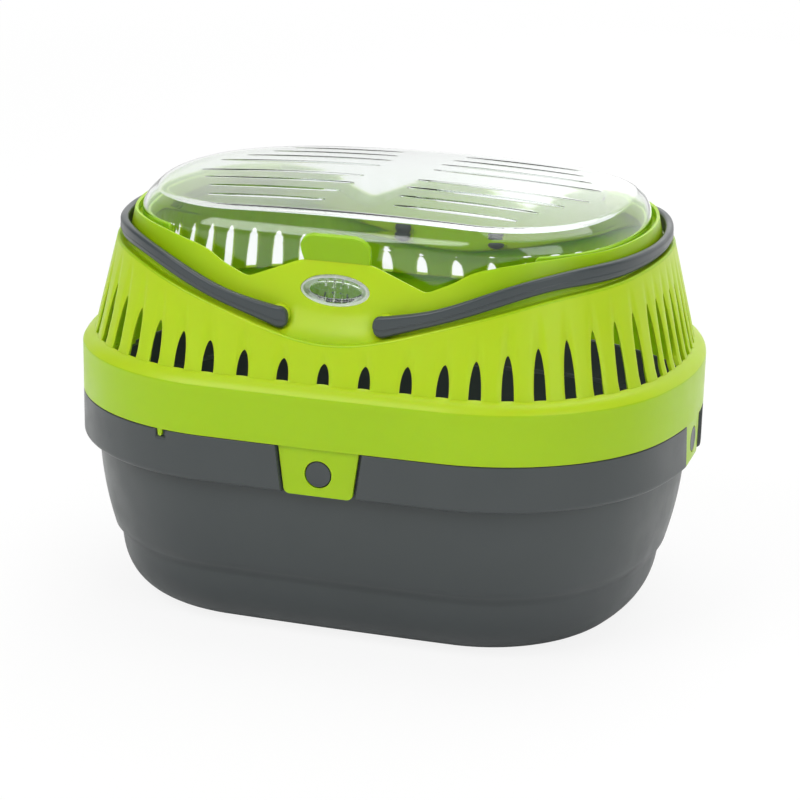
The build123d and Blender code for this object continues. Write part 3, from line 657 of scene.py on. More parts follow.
def tubProfile(depth):
    # heel bend, step at the crease, belly bowed out by 4 bulge s (1 - s), quarter round, upright band
    t = np.linspace(0, 1, 22)
    heelD = bend(tub["floorInset"], tub["heelInset"] + depth, tub["creaseInset"] + depth, t)
    heelZ = bend(depth, depth, tub["creaseHeight"], t)
    ledgeD, ledgeZ = tub["creaseInset"] - tub["creaseStep"] + depth, tub["creaseHeight"] + tub["creaseRise"]
    s = np.linspace(0, 1, 14)[1:]
    bellyD = ledgeD + (tub["waistInset"] + depth - ledgeD) * s - 4 * tub["bulge"] * s * (1 - s)
    bellyZ = ledgeZ + (tub["bandBottom"] + depth - ledgeZ) * s
    a = np.linspace(0, quarterTurn, 9)
    radius, roundLevel = tub["bandRound"] - depth, tub["bandBottom"] + tub["bandRound"]
    bandZ = np.linspace(roundLevel, tub["rim"], 32)[1:]
    d = np.concatenate([heelD, [ledgeD], bellyD, tub["bandRound"] - radius * np.sin(a), depth + 0 * bandZ])
    z = np.concatenate([heelZ, [ledgeZ], bellyZ, roundLevel - radius * np.cos(a), bandZ])
    return d, z


def recessMask(run, z):
    # 1 inside the leaning window cut for a snap tab, falling to 0 over 0.6 mm
    away = runAway(run, np.array(sideRuns) + snap["windowShift"])
    foot = snapFoot - snap["sideGap"]
    lean = (snap["top"] - snap["bottom"]) / 2 / snap["drop"]
    width = snap["bottom"] / 2 + snap["sideGap"] + lean * (z - foot)
    return smoothStep(-0.3, 0.3, np.minimum(width - away, z - foot))


def notchMask(run, z):
    # 1 inside the upright notch for the nub, falling to 0 over half a millimetre
    away = runAway(run, np.array([nubRun + nub["notchShift"]]))
    foot = roof["parting"] - nub["drop"] - nub["notchOver"]
    return smoothStep(-0.25, 0.25, np.minimum(nub["width"] / 2 + nub["notchSide"] - away, z - foot))


# finer stations where the sides of the recesses and the notch stand
fineRuns = [middle + side * np.arange(*tub["fineReach"], tub["fineStep"])
            for middle in sideRuns for side in (-1, 1)]
fineRuns.append(nubRun + nub["notchShift"] + np.arange(-4, 4.1, tub["fineStep"]))
tubRuns = stationsRound(tub["step"], np.concatenate(fineRuns), seamRun)[:-1]
outerD, outerZ = tubProfile(0.0)
innerD, innerZ = tubProfile(tub["wall"])
softRim = tub["rim"] - tub["rimRound"]
profileD = np.concatenate([outerD, [tub["rimRound"], tub["wall"] - tub["rimRound"]], innerD[::-1]])
profileZ = np.concatenate([outerZ[:-1], [softRim, tub["rim"], tub["rim"], softRim], innerZ[::-1][1:]])
runGrid, dGrid = np.meshgrid(tubRuns, profileD, indexing="ij")
zGrid = np.broadcast_to(profileZ, runGrid.shape)
outerFace = (np.arange(len(profileD)) < len(outerD) + 1)[None]
recess, notch = recessMask(runGrid, zGrid), notchMask(runGrid, zGrid)
pocket = np.where(outerFace, snap["pocket"], snap["pocket"] + tub["wall"])  # the inside steps in as well
dGrid = dGrid + recess * np.maximum(pocket - dGrid, 0) \
    + notch * (1 - recess) * np.maximum(nub["notchDepth"] - dGrid, 0) * outerFace
tubGrid = placePoints(runGrid, dGrid, zGrid)
tubSkin = Skin()
tubSkin.addGrid(tubGrid, closed=True)
tubSkin.addFaces(tubGrid[:, 0], [list(range(len(tubRuns)))[::-1]])
tubSkin.addFaces(tubGrid[:, -1], [list(range(len(tubRuns)))])
tubBody = tubSkin.build("tub_body")
tubBody.data.set_sharp_from_angle(angle=math.radians(55))

studs = Skin()
studProfile = [(0.0, -0.35), (2.0, -0.34), (4.2, -0.22), (5.2, -0.08), (5.6, -0.02), (5.85, -0.2),
               (snap["studRadius"], -0.5), (snap["studRadius"], -3.0)]  # slightly dished, with a rounded edge
for middle in sideRuns:
    point, normal = walkOutline(np.array([middle]))
    centre = np.array([*(point[0] - snap["inset"] * normal[0]), roof["parting"] - snap["studDrop"]])
    studs.addGrid(spinProfile(studProfile[::-1], centre, (*normal[0], 0), 56), closed=True)
tubStuds = studs.build("tub_studs")
closeShape(tubStuds)
print("tub:", len(tubBody.data.polygons), "faces")

# lid: clear shell with an upright skirt, a sloping shoulder, a crease round its crown and lens-shaped slots
lid = {"wall": 2.0, "edge": 0.3, "inset": 29.05, "cover": 4.5, "endFoot": 184.1, "endFrom": 2.4, "endTo": 1.8,
       "catchHalf": 17.0, "catchSoft": 0.2, "catchFoot": 162.4, "bendInset": 29.9, "bendHeight": 193.4,
       "slopeInset": 32.6, "slopeHeight": 196.0, "slopeEnd": 36.0, "creaseInset": 37.3, "crownInset": 40.5,
       "top": 205.5, "longRadius": 1219.0, "crossRadius": 730.0, "step": 2.0, "fill": 4.0, "margin": 0.9,
       "slotWidth": 3.2,  # and the slots: place across, and where they start and end along X
       "slots": [(12.6, 13.5, 96.0), (28.4, 13.0, 88.0), (44.2, 14.5, 80.0), (60.0, 16.5, 74.0)]}
footEnds = (lips["start"] - lid["endFrom"], lips["start"] - lid["endTo"])
catchEnds = (lid["catchHalf"] - lid["catchSoft"], lid["catchHalf"] + lid["catchSoft"])


def crownHeight(x, y):
    # top - x^2 / (2 long radius) - y^2 / (2 cross radius)
    return lid["top"] - x**2 / (2 * lid["longRadius"]) - y**2 / (2 * lid["crossRadius"])


def lidFoot(run):
    # the cover's height below the rim, the channels' floor at the ends, and far down on the catch in front
    place = placePoints(run, lid["inset"], 0)
    x, y = abs(place[..., 0]), place[..., 1]
    cut = rimHeight(x) - lid["cover"]
    foot = cut + (lid["endFoot"] - cut) * smoothStep(*footEnds, x)
    return foot + (lid["catchFoot"] - foot) * (1 - smoothStep(*catchEnds, x)) * (y < 0)


backPlaces = (roof["notchX"],) + footEnds
lidExtras = [side * runAtX(x, lid["inset"]) for x in catchEnds + backPlaces for side in (1, -1)]
lidExtras += [fullRun / 2 - side * runAtX(x, lid["inset"]) for x in backPlaces for side in (1, -1)]
lidRuns = stationsRound(lid["step"], lidExtras, seamRun)
foot = lidFoot(lidRuns)
crease, crown = (placePoints(lidRuns, lid[line], 0) for line in ("creaseInset", "crownInset"))
creaseZ, crownZ = (crownHeight(line[:, 0], line[:, 1]) for line in (crease, crown))
slopeRun, slopeZ = lid["slopeEnd"] - lid["slopeInset"], lid["slopeHeight"]
slopeEndZ = slopeZ + (creaseZ - slopeZ) * slopeRun / (lid["creaseInset"] - lid["slopeInset"])
lidRows = [(lid["inset"], foot + share * (roof["rimTop"] - foot)) for share in np.linspace(0, 1, 9)]
lidRows += [(bend(lid["inset"], lid["bendInset"], lid["slopeInset"], t),
             bend(roof["rimTop"], lid["bendHeight"], slopeZ, t) + 0 * foot) for t in np.linspace(0, 1, 7)[1:]]
lidRows += [(lid["slopeInset"] + t * slopeRun, slopeZ + t * (slopeEndZ - slopeZ)) for t in (0.5, 1.0)]
lidRows += [(bend(lid["slopeEnd"], lid["creaseInset"], lid["crownInset"], t),
             bend(slopeEndZ, creaseZ, crownZ, t)) for t in np.linspace(0, 1, 6)[1:]]
lidSkin = Skin()
lidSkin.addGrid(placePoints(lidRuns[:, None], np.array([d for d, _ in lidRows])[None],
                            np.stack([z for _, z in lidRows], -1)))
lensTurn = np.linspace(0, halfTurn, 27)
bulge = lid["slotWidth"] / 2 * np.sin(lensTurn) ** 0.8
loops = []
for y, innerX, outerX in lid["slots"]:
    x = innerX + (outerX - innerX) * (1 - np.cos(lensTurn)) / 2
    lensLoop = np.concatenate([np.stack([x, -bulge], -1), np.stack([x, bulge], -1)[1:-1][::-1]])
    loops += [lensLoop * (side, 1) + (0, face * y) for side in (1, -1) for face in (1, -1)]
spots = crossPairs(np.arange(-108, 108.1, lid["fill"]), np.arange(-72, 72.1, lid["fill"]))
spots = spots[insideHoles(spots, [placePoints(lidRuns[:-1], lid["crownInset"] + 2.5, 0)[:, :2]])]
corners, faces = zoneWithHoles(crown[:-1, :2], spots, loops, lid["margin"])
lidSkin.addFaces(np.concatenate([corners, crownHeight(corners[:, 0], corners[:, 1])[:, None]], 1), faces)
lidShell = lidSkin.build("lid_shell")
addThickness(lidShell, lid["wall"], lid["edge"])
print("lid:", len(lidShell.data.polygons), "faces")

# latch: clear oval with a raised rim and a dished middle in the plate, and a ribbed flange behind it
lens = {"rim": 3.2, "sunk": -0.1, "dish": 0.15, "shoulder": -1.3, "side": -0.8, "ribPitch": 4.0,
        "ribDepth": 0.5, "turnSteps": 192, "capRings": 12, "frosted": 4}
plateSlope = (collarInset(latch["level"] + latch["slopeReach"])
              - collarInset(latch["level"] - latch["slopeReach"])) / (2 * latch["slopeReach"])
plateNormal = np.array([0, -1, plateSlope]) / math.hypot(1, plateSlope)
plateUp = np.cross(plateNormal, (1, 0, 0))
plateCentre = np.array([0, latch["plateInset"] - outline["halfWidth"], latch["level"]])
turn = np.linspace(0, fullTurn, lens["turnSteps"], endpoint=False)


def lensRings(rows, ribs):
    # ovals of (half axis + grow) * share, lifted along the plate's normal by
    # lift + ribs * cos(2 pi x / pitch)
    rings = []
    for grow, share, lift in rows:
        x = (latch["length"] / 2 + grow) * share * np.cos(turn)
        y = (latch["height"] / 2 + grow) * share * np.sin(turn)
        wave = ribs * np.cos(fullTurn * x / lens["ribPitch"]) * smoothStep(0, 0.25, 1 - share)
        rings.append(plateCentre + x[:, None] * np.array([1.0, 0, 0]) + y[:, None] * plateUp
                     + (lift + wave)[:, None] * plateNormal)
    return np.stack(rings[::-1], 1)


capShares = np.linspace(1, 0, lens["capRings"])
rim, sunk, proud, over = -lens["rim"], lens["sunk"], latch["proud"], latch["flangeOverlap"]
flangeFront = -(roof["wall"] + latch["gap"])
flangeBack = flangeFront - latch["flangeWall"]
latchSkin = Skin()
for rows, ribs, zone in (  # zone 1 is frosted: the rim's outer side and the outer rings of the back
    ([(rim, share, sunk - lens["dish"] * (1 - share)) for share in capShares[::-1]], 0.0, 0),
    ([(rim, 1, sunk), (-2.9, 1, 0.2), (-2.2, 1, 0.62), (lens["shoulder"], 1, proud)], 0.0, 0),
    ([(lens["shoulder"], 1, proud), (-0.5, 1, 0.5), (0.0, 1, 0.0), (0.0, 1, lens["side"])], 0.0, 1),
    ([(0.0, 1, lens["side"]), (0.0, 1, flangeFront + 0.1), (over, 1, flangeFront),
      (over, 1, flangeBack)], 0.0, 0),
    ([(over, share, flangeBack) for share in capShares[:lens["frosted"]]], lens["ribDepth"], 1),
    ([(over, share, flangeBack) for share in capShares[lens["frosted"] - 1:]], lens["ribDepth"], 0),
):
    latchSkin.addGrid(lensRings(rows, ribs), closed=True, zone=zone)
latchLens = latchSkin.build("latch_lens")
latchLens.data.set_sharp_from_angle(angle=math.radians(60))

# handles: rounded strap carried along a bent line, its height read from the side view
handle = {"front": 15.7, "end": 20.7, "wall": 4.0, "corner": 80.0, "round": 1.5, "endRadius": 5.0,
          "endPower": 2.6, "seam": 0.4, "seamStep": 0.6, "reach": 133.0,
          "underShares": (25 / 150, 0.24, 0.4, 0.553, 0.653, 0.813, 0.887),
          "underRises": (-5.0, -1.2, 6.9, 15.2, 19.3, 20.8, 22.3),
          "overShares": (25 / 150, 0.313, 0.513, 0.627, 0.72, 0.813, 0.887),
          "overRises": (5.0, 9.8, 20.9, 25.9, 28.3, 28.8, 28.2)}
handleReach = outline["halfWidth"] - handle["front"]
handleArc = outline["endRadius"] - handle["end"]
handleY = handleReach - handle["corner"]
handleX = endX + math.sqrt((handleArc - handle["corner"]) ** 2 - handleY**2)
handleTurn = math.atan2(handleY, handleX - endX)
underSpline, overSpline = (smoothThrough(np.array(handle[line + "Shares"]) * outline["halfLength"],
                                         pivot["z"] + np.array(handle[line + "Rises"]))
                           for line in ("under", "over"))


def handleHeights(x):
    # splines of the side view; past the pin |x|^p + |z|^p = r^p, a little squarer than a circle
    power, radius = handle["endPower"], handle["endRadius"]
    lobe = np.clip(radius**power - np.clip(pivot["x"] - x, 0, radius) ** power, 0, None) ** (1 / power)
    along = np.clip(x, pivot["x"], handle["reach"])
    low = np.where(x < pivot["x"], pivot["z"] - lobe, underSpline(along))
    high = np.where(x < pivot["x"], pivot["z"] + lobe, overSpline(along))
    return low, high


def handleLine():
    # centre line in plan and its outward normal: straight, corner arc, end arc, then mirrored behind
    lobe = pivot["x"] - handle["endRadius"] * np.cos(np.linspace(0, quarterTurn, 12))
    firstX = np.concatenate([lobe, np.linspace(pivot["x"], handleX, 9)[1:]])
    line = [np.stack([firstX, np.full(firstX.shape, -handleReach)], -1)]
    normal = [np.tile([0.0, -1.0], (len(firstX), 1))]
    for centre, radius, angles in (
        ((handleX, -handleY), handle["corner"], np.linspace(-quarterTurn, -handleTurn, 42)[1:]),
        ((endX, 0), handleArc, np.linspace(-handleTurn, 0, 14)[1:]),
    ):
        normal.append(np.stack([np.cos(angles), np.sin(angles)], -1))
        line.append(np.array(centre) + radius * normal[-1])
    line, normal = np.concatenate(line), np.concatenate(normal)
    return tuple(np.concatenate([rows, rows[:-1][::-1] * (1, -1)]) for rows in (line, normal))


def handleSection():
    # (place across, share of the height, offset) round the section: a quarter round at each corner and
    # a mould line, below which the outer face steps back
    side, r, seam = handle["wall"] / 2, handle["round"], handle["seam"]
    a = np.linspace(0, quarterTurn, 6)
    low = side - handle["seamStep"]
    rows = [(low - r + r * math.sin(t), 0, r - r * math.cos(t)) for t in a]
    rows += [(low, seam, -0.5), (low + 0.02, seam, -0.18), (side + 0.1, seam, 0.0), (side + 0.02, seam, 0.2),
             (side, seam, 0.5)]
    rows += [(side - r + r * math.cos(t), 1, -r + r * math.sin(t)) for t in a]
    rows += [(-side + r - r * math.sin(t), 1, -r + r * math.cos(t)) for t in a]
    rows += [(-side + r - r * math.cos(t), 0, r - r * math.sin(t)) for t in a]
    return np.array(rows)


def makeHandle(name, side):
    # strap: line + across * normal in plan, low + share * (high - low) + offset in height; and two pins
    line, normal = handleLine()
    section = handleSection()
    r = handle["round"]
    fromTip = np.clip(line[:, 0] - (pivot["x"] - handle["endRadius"]), 0, r)
    narrow = r - np.sqrt(r**2 - (r - fromTip) ** 2)
    lateral = np.sign(section[:, 0]) * np.maximum(abs(section[:, 0])[None] - narrow[:, None], 0.05)
    flat = line[:, None] + lateral[..., None] * normal[:, None]
    low, high = (np.where(flat[..., 0] < pivot["x"], atLine, atPoint)
                 for atLine, atPoint in zip(handleHeights(line[:, :1]), handleHeights(flat[..., 0])))
    shrink = np.clip((high - low) / (3 * r), 0, 1)
    z = low + section[None, :, 1] * (high - low) + section[None, :, 2] * shrink
    points = np.concatenate([flat, z[..., None]], -1)
    skin = Skin()
    skin.addGrid(np.concatenate([points, points[:, :1]], 1))
    headStart = -(bossBack + pivot["headGap"] - handle["front"])
    headEnd = headStart - pivot["headLength"]
    pinProfile = [(0.0, 0.5), (pivot["pinRadius"], 0.5), (pivot["pinRadius"], headStart),
                  (pivot["headRadius"], headStart), (pivot["headRadius"], headStart - pivot["headSide"]),
                  (pivot["headRadius"] - pivot["headTaper"], headEnd), (0.0, headEnd)]
    for face in (-1, 1):
        centre = (pivot["x"], face * handleReach, pivot["z"])
        skin.addGrid(spinProfile(pinProfile, centre, (0, face, 0), 40), closed=True)
    piece = makeObject(name, np.concatenate(skin.points) * (side, 1, 1), skin.faces, merge=0.03)
    closeShape(piece, 50)
    return piece


rightHandle = makeHandle("handle_strap_right", 1)
leftHandle = makeHandle("handle_strap_left", -1)
print("handles:", len(rightHandle.data.polygons), "faces each")


def hexColour(code):
    # sRGB to linear: c / 12.92 when dark, else ((c + 0.055) / 1.055)^2.4
    parts = [int(code[k:k + 2], 16) / 255 for k in (1, 3, 5)]
    return tuple(p / 12.92 if p <= 0.04045 else ((p + 0.055) / 1.055) ** 2.4 for p in parts) + (1.0,)


def addNode(tree, kind, settings=None, inputs=None, links=None):
    # one node with its settings, socket values and incoming links
    node = tree.nodes.new(kind)
    for key, value in (settings or {}).items():
        setattr(node, key, value)
    for key, value in (inputs or {}).items():
        node.inputs[key].default_value = value
    for key, socket in (links or {}).items():
        tree.links.new(socket, node.inputs[key])
    return node


def newMaterial(name):
    # empty material and its node tree
    material = bpy.data.materials.new(name)
    material.use_nodes = True
    material.node_tree.nodes.clear()
    return material, material.node_tree


# widths of the marks in millimetres; a real spark-eroded grain is under 0.1 mm wide, too fine to show
# in the render, so it is drawn several times as coarse
limeFinish = {"grain": 1000 / 1400, "grainDepth": 0.03, "subsurface": 0.5, "specular": 0.35}
greyFinish = {"grain": 1000 / 1100, "subsurface": 0.0, "specular": 0.5}
flowMarks, smears = 1000 / 14, 1000 / 60
# painted light on the front plate: heights and widths of its yellower patch
platePaintedLight = {"low": 0.146, "high": 0.154, "outside": 0.085, "inside": 0.035}  # metres


def mouldedPlastic(name, colours, roughness, grain, grainDepth, subsurface, specular, platePaintedLightColour=None):
    # polypropylene from a spark-eroded mould: even colour, faint flow marks, fine grain, soft broad
    # highlights; tint = mix of two colours by noise, with painted light on the front plate when a plate
    # colour is given, roughness -0.05 to +0.06 by noise, bump by grain
    material, tree = newMaterial(name)
    place = addNode(tree, "ShaderNodeTexCoord").outputs["Object"]
    flow = addNode(tree, "ShaderNodeTexNoise", None,
                   {"Scale": 1 / (flowMarks * mm), "Detail": 3.0, "Roughness": 0.55}, {"Vector": place})
    tint = addNode(tree, "ShaderNodeMix", {"data_type": "RGBA"},
                   {6: hexColour(colours[0]), 7: hexColour(colours[1])}, {0: flow.outputs["Fac"]}).outputs[2]
    if platePaintedLightColour:
        # painted light: the front plate is painted yellower, as it looks where it catches the light from
        # above: share = smooth step up Z * smooth step inwards along X
        parts = addNode(tree, "ShaderNodeSeparateXYZ", links={"Vector": place})
        outward = addNode(tree, "ShaderNodeMath", {"operation": "ABSOLUTE"}, links={0: parts.outputs["X"]})
        climb = addNode(tree, "ShaderNodeMapRange", {"interpolation_type": "SMOOTHSTEP"},
                        {"From Min": platePaintedLight["low"], "From Max": platePaintedLight["high"]},
                        {"Value": parts.outputs["Z"]})
        middle = addNode(tree, "ShaderNodeMapRange", {"interpolation_type": "SMOOTHSTEP"},
                         {"From Min": platePaintedLight["outside"], "From Max": platePaintedLight["inside"]},
                         {"Value": outward.outputs[0]})
        share = addNode(tree, "ShaderNodeMath", {"operation": "MULTIPLY"},
                        links={0: climb.outputs["Result"], 1: middle.outputs["Result"]})
        tint = addNode(tree, "ShaderNodeMix", {"data_type": "RGBA"}, {7: hexColour(platePaintedLightColour)},
                       {0: share.outputs[0], 6: tint}).outputs[2]
    smear = addNode(tree, "ShaderNodeTexNoise", None, {"Scale": 1 / (smears * mm), "Detail": 4.0},
                    {"Vector": place})
    rough = addNode(tree, "ShaderNodeMapRange", None,
                    {"From Min": 0.3, "From Max": 0.7, "To Min": roughness - 0.05,
                     "To Max": roughness + 0.06}, {"Value": smear.outputs["Fac"]})
    fine = addNode(tree, "ShaderNodeTexNoise", None,
                   {"Scale": 1 / (grain * mm), "Detail": 2.0, "Roughness": 0.6}, {"Vector": place})
    bump = addNode(tree, "ShaderNodeBump", None, {"Strength": 0.35, "Distance": grainDepth * mm},
                   {"Height": fine.outputs["Fac"]})
    shader = addNode(tree, "ShaderNodeBsdfPrincipled", None,
                     {"IOR": 1.49, "Specular IOR Level": specular, "Subsurface Weight": subsurface,
                      "Subsurface Scale": 0.003, "Subsurface Radius": (0.6, 1.0, 0.2)},
                     {"Base Color": tint, "Roughness": rough.outputs["Result"],
                      "Normal": bump.outputs["Normal"]})
    addNode(tree, "ShaderNodeOutputMaterial", links={"Surface": shader.outputs["BSDF"]})
    return material


def clearPolystyrene(name, colour, roughness):
    # polished clear polystyrene: refracts what the eye sees; lamps and bounced light pass straight through
    material, tree = newMaterial(name)
    glass = addNode(tree, "ShaderNodeBsdfPrincipled", None,
                    {"Base Color": hexColour(colour), "Roughness": roughness, "IOR": 1.49,
                     "Transmission Weight": 1.0})
    passing = addNode(tree, "ShaderNodeBsdfTransparent", None, {"Color": hexColour(colour)})
    rays = addNode(tree, "ShaderNodeLightPath")
    soft = addNode(tree, "ShaderNodeMath", {"operation": "MAXIMUM"}, None,
                   {0: rays.outputs["Is Shadow Ray"], 1: rays.outputs["Is Diffuse Ray"]})
    mixed = addNode(tree, "ShaderNodeMixShader", None, None,
                    {0: soft.outputs[0], 1: glass.outputs["BSDF"], 2: passing.outputs["BSDF"]})
    addNode(tree, "ShaderNodeOutputMaterial", links={"Surface": mixed.outputs["Shader"]})
    return material


# the roof's lime, with painted light on the front plate: a yellower patch where the plate catches light
roofPlastic = mouldedPlastic("lime_moulded_polypropylene", ("#A4C806", "#9DC204"), 0.36, **limeFinish,
                             platePaintedLightColour="#B4D018")
# painted light: a lighter, yellower copy of the roof's lime for the crown and vent wall, which catch more
# light from above than the upright skirt
ventPaintedLightPlastic = mouldedPlastic("lime_polypropylene_vent_wall_painted_lighter", ("#B6D11C", "#B0CD18"), 0.36, **limeFinish)
# painted shade: a darker copy of the lime for the finger tab, which leans outwards and faces away from the
# light above
tabPaintedShadePlastic = mouldedPlastic("lime_polypropylene_finger_tab_painted_shade", ("#96C008", "#90BC06"), 0.38, **limeFinish)
tubPlastic = mouldedPlastic("slate_moulded_polypropylene", ("#3F4546", "#3C4142"), 0.36,
                            grainDepth=0.06, **greyFinish)
handlePlastic = mouldedPlastic("bluish_grey_handle_polypropylene", ("#404749", "#3D4446"), 0.34,
                               grainDepth=0.05, **greyFinish)
lidPlastic = clearPolystyrene("clear_moulded_polystyrene", "#F7FBF9", 0.03)
lensPlastic = clearPolystyrene("clear_polished_latch_polystyrene", "#F7FBF8", 0.04)

# the latch's rim and the edge of its ribbed back scatter light and look whiter than its polished face
edgePlastic, tree = newMaterial("clear_polystyrene_cut_edge")
shader = addNode(tree, "ShaderNodeBsdfPrincipled", None,
                 {"Base Color": hexColour("#F4F8F6"), "Roughness": 0.3, "IOR": 1.49,
                  "Transmission Weight": 0.6})
addNode(tree, "ShaderNodeOutputMaterial", links={"Surface": shader.outputs["BSDF"]})

for piece, material, slotName, body, node in (
    (roofShell, roofPlastic, "roof_plastic", "carrier", "roof_shell"),
    (roofFittings, roofPlastic, "roof_plastic", "carrier", "roof_shell"),
    (roofTabs, roofPlastic, "roof_plastic", "carrier", "roof_shell"),
    (fingerTab, tabPaintedShadePlastic, "roof_plastic", "carrier", "roof_shell"),
    (tubBody, tubPlastic, "tub_plastic", "carrier", "base_tub"),
    (tubStuds, tubPlastic, "tub_plastic", "carrier", "base_tub"),
    (lidShell, lidPlastic, "clear_plastic", "lid", "lid"),
    (latchLens, lensPlastic, "clear_plastic", "latch_button", "latch_button"),
    (rightHandle, handlePlastic, "handle_plastic", "right_handle", "right_handle"),
    (leftHandle, handlePlastic, "handle_plastic", "left_handle", "left_handle"),
):
    piece.data.materials.append(material)
    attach(piece, body)
    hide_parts(node)
# zone 1, the crown and the vent wall, gets the copy with painted light
roofShell.data.materials.append(ventPaintedLightPlastic)
latchLens.data.materials.append(edgePlastic)
print("materials and bodies assigned")


def stageSheet(name, corners, material):
    # one flat face that belongs to the studio and not to the object
    mesh = bpy.data.meshes.new(name)
    mesh.from_pydata(corners, [], [(0, 1, 2, 3)])
    mesh.materials.append(material)
    sheet = bpy.data.objects.new(name, mesh)
    scene.collection.objects.link(sheet)
    return sheet


# floor: paper that keeps the shadow near the carrier and turns to the backdrop's plain white further off
ground = {"half": 8.0, "paper": 0.92, "nearWhite": 0.86, "whiteFrom": 0.3, "whiteTo": 2.2}
floorPaper, tree = newMaterial("white_backdrop_paper")
rayKind = addNode(tree, "ShaderNodeLightPath")
seen = addNode(tree, "ShaderNodeMath", {"operation": "MAXIMUM"},
               links={0: rayKind.outputs["Is Camera Ray"], 1: rayKind.outputs["Is Transmission Ray"]})
distance = addNode(tree, "ShaderNodeVectorMath", {"operation": "LENGTH"},
                   links={0: addNode(tree, "ShaderNodeTexCoord").outputs["Object"]})
whiteness = addNode(tree, "ShaderNodeMapRange", {"interpolation_type": "SMOOTHSTEP"},
                    {"From Min": ground["whiteFrom"], "From Max": ground["whiteTo"],
                     "To Min": ground["nearWhite"], "To Max": 1.0}, {"Value": distance.outputs["Value"]})
share = addNode(tree, "ShaderNodeMath", {"operation": "MULTIPLY"},
                links={0: seen.outputs[0], 1: whiteness.outputs["Result"]})
paper = addNode(tree, "ShaderNodeBsdfDiffuse", inputs={"Color": (ground["paper"],) * 3 + (1,)})
white = addNode(tree, "ShaderNodeEmission", inputs={"Color": (1, 1, 1, 1), "Strength": 1.0})
mixed = addNode(tree, "ShaderNodeMixShader",
                links={0: share.outputs[0], 1: paper.outputs["BSDF"], 2: white.outputs["Emission"]})
addNode(tree, "ShaderNodeOutputMaterial", links={"Surface": mixed.outputs["Shader"]})
half = ground["half"]
floorCorners = [(-half, -half, 0), (half, -half, 0), (half, half, 0), (-half, half, 0)]
stageSheet("studio_floor", floorCorners, floorPaper)

# world: white to the eye, soft as a light; for reflections white at the back and dim on the camera's side
room = {"light": 0.44, "dim": 0.14, "white": 1.0, "dimTo": 0.25, "whiteFrom": 0.8}
world = bpy.data.worlds.new("studio")
scene.world = world
world.use_nodes = True
tree = world.node_tree
tree.nodes.clear()
rayKind = addNode(tree, "ShaderNodeLightPath")
heading = addNode(tree, "ShaderNodeSeparateXYZ",
                  links={"Vector": addNode(tree, "ShaderNodeTexCoord").outputs["Generated"]})
behind = addNode(tree, "ShaderNodeMapRange", {"interpolation_type": "SMOOTHSTEP"},
                 {"From Min": room["dimTo"], "From Max": room["whiteFrom"]}, {"Value": heading.outputs["Y"]})
mirrored = addNode(tree, "ShaderNodeMapRange", None, {"To Min": room["dim"], "To Max": room["white"]},
                   {"Value": behind.outputs["Result"]})
seen = addNode(tree, "ShaderNodeMath", {"operation": "MAXIMUM"},
               links={0: rayKind.outputs["Is Camera Ray"], 1: rayKind.outputs["Is Transmission Ray"]})
soft, bright = (addNode(tree, "ShaderNodeBackground", inputs={"Color": (1, 1, 1, 1), "Strength": room[key]})
                for key in ("light", "white"))
reflected = addNode(tree, "ShaderNodeBackground", inputs={"Color": (1, 1, 1, 1)},
                    links={"Strength": mirrored.outputs["Result"]})
around = addNode(tree, "ShaderNodeMixShader",
                 links={0: rayKind.outputs["Is Glossy Ray"], 1: soft.outputs["Background"],
                        2: reflected.outputs["Background"]})
mixed = addNode(tree, "ShaderNodeMixShader",
                links={0: seen.outputs[0], 1: around.outputs["Shader"], 2: bright.outputs["Background"]})
addNode(tree, "ShaderNodeOutputWorld", links={"Surface": mixed.outputs["Shader"]})

# glowing card behind the carrier, seen only as a reflection in the clear lid and soft at its edges
card = {"left": -0.43, "right": 0.22, "low": 0.15, "high": 1.2, "back": 1.35, "edge": 0.3, "glow": 1.5}
cardGlow, tree = newMaterial("lit_white_card")
parts = addNode(tree, "ShaderNodeSeparateXYZ",
                links={"Vector": addNode(tree, "ShaderNodeTexCoord").outputs["Object"]})
share = None
for axis, start, side in (("X", "left", 1), ("X", "right", -1), ("Z", "low", 1), ("Z", "high", -1)):
    fadeIn = addNode(tree, "ShaderNodeMapRange", {"interpolation_type": "SMOOTHSTEP"},
                     {"From Min": card[start], "From Max": card[start] + side * card["edge"]},
                     {"Value": parts.outputs[axis]}).outputs["Result"]
    share = fadeIn if share is None else addNode(tree, "ShaderNodeMath", {"operation": "MULTIPLY"},
                                                 links={0: share, 1: fadeIn}).outputs[0]
glow = addNode(tree, "ShaderNodeEmission", inputs={"Color": (1, 1, 1, 1), "Strength": card["glow"]})
clear = addNode(tree, "ShaderNodeBsdfTransparent")
mixed = addNode(tree, "ShaderNodeMixShader",
                links={0: share, 1: clear.outputs["BSDF"], 2: glow.outputs["Emission"]})
addNode(tree, "ShaderNodeOutputMaterial", links={"Surface": mixed.outputs["Shader"]})
cardCorners = [(card[x], card["back"], card[z])
               for x, z in (("left", "low"), ("right", "low"), ("right", "high"), ("left", "high"))]
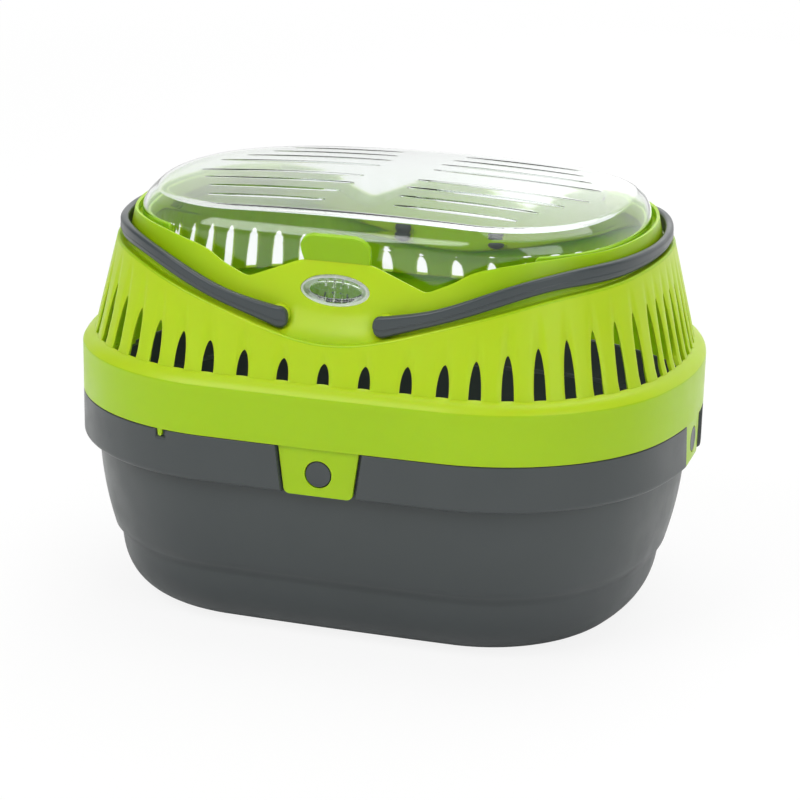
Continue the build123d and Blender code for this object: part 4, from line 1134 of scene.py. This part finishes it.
studioCard = stageSheet("studio_card", cardCorners, cardGlow)
studioCard.visible_camera = studioCard.visible_diffuse = studioCard.visible_shadow = False

lamps = {"key": ((-0.9, -1.3, 1.5), 1.2, 18.0), "fill": ((1.4, -0.9, 0.9), 1.0, 7.5),
         "top": ((0.1, 0.5, 1.6), 1.4, 13.0), "rear": ((0.2, 1.7, 0.7), 1.3, 11.0)}  # place, size, power
aim = Vector((0, 0, 0.1))
for name, (spot, size, power) in lamps.items():
    lamp = bpy.data.lights.new(name, "AREA")
    lamp.shape = "SQUARE"
    lamp.size = size
    lamp.energy = power
    holder = bpy.data.objects.new(name, lamp)
    holder.location = spot
    holder.rotation_euler = (aim - Vector(spot)).to_track_quat("-Z", "Y").to_euler()
    holder.visible_camera = False
    holder.visible_glossy = holder.visible_transmission = name != "rear"
    scene.collection.objects.link(holder)

# camera at the photo's angle: degrees and metres, focal length in pixels of the frame, sensor in mm
view = {"yaw": 17.01313, "pitch": 16.98961, "roll": 1.2389, "distance": 1.166147, "side": 0.00282415,
        "height": 0.09183181, "focal": 2376.203, "frame": 800, "sensor": 36}
yaw, pitch, roll = (math.radians(view[key]) for key in ("yaw", "pitch", "roll"))
back = Vector((math.sin(yaw) * math.cos(pitch), -math.cos(yaw) * math.cos(pitch), math.sin(pitch)))
right = Vector((math.cos(yaw), math.sin(yaw), 0))
upward = back.cross(right)
rolledRight = right * math.cos(roll) + upward * math.sin(roll)
rolledUp = upward * math.cos(roll) - right * math.sin(roll)
cameraData = bpy.data.cameras.new("photo_camera")
cameraData.sensor_width = view["sensor"]
cameraData.lens = view["focal"] / view["frame"] * view["sensor"]
cameraData.clip_start, cameraData.clip_end = 0.01, 50
camera = bpy.data.objects.new("photo_camera", cameraData)
spot = Vector((0, 0, view["height"])) + right * view["side"] + back * view["distance"]
camera.matrix_world = Matrix.Translation(spot) @ Matrix((rolledRight, rolledUp, back)).transposed().to_4x4()
scene.collection.objects.link(camera)
scene.camera = camera
scene.view_settings.view_transform = "Standard"

print("scene ready")
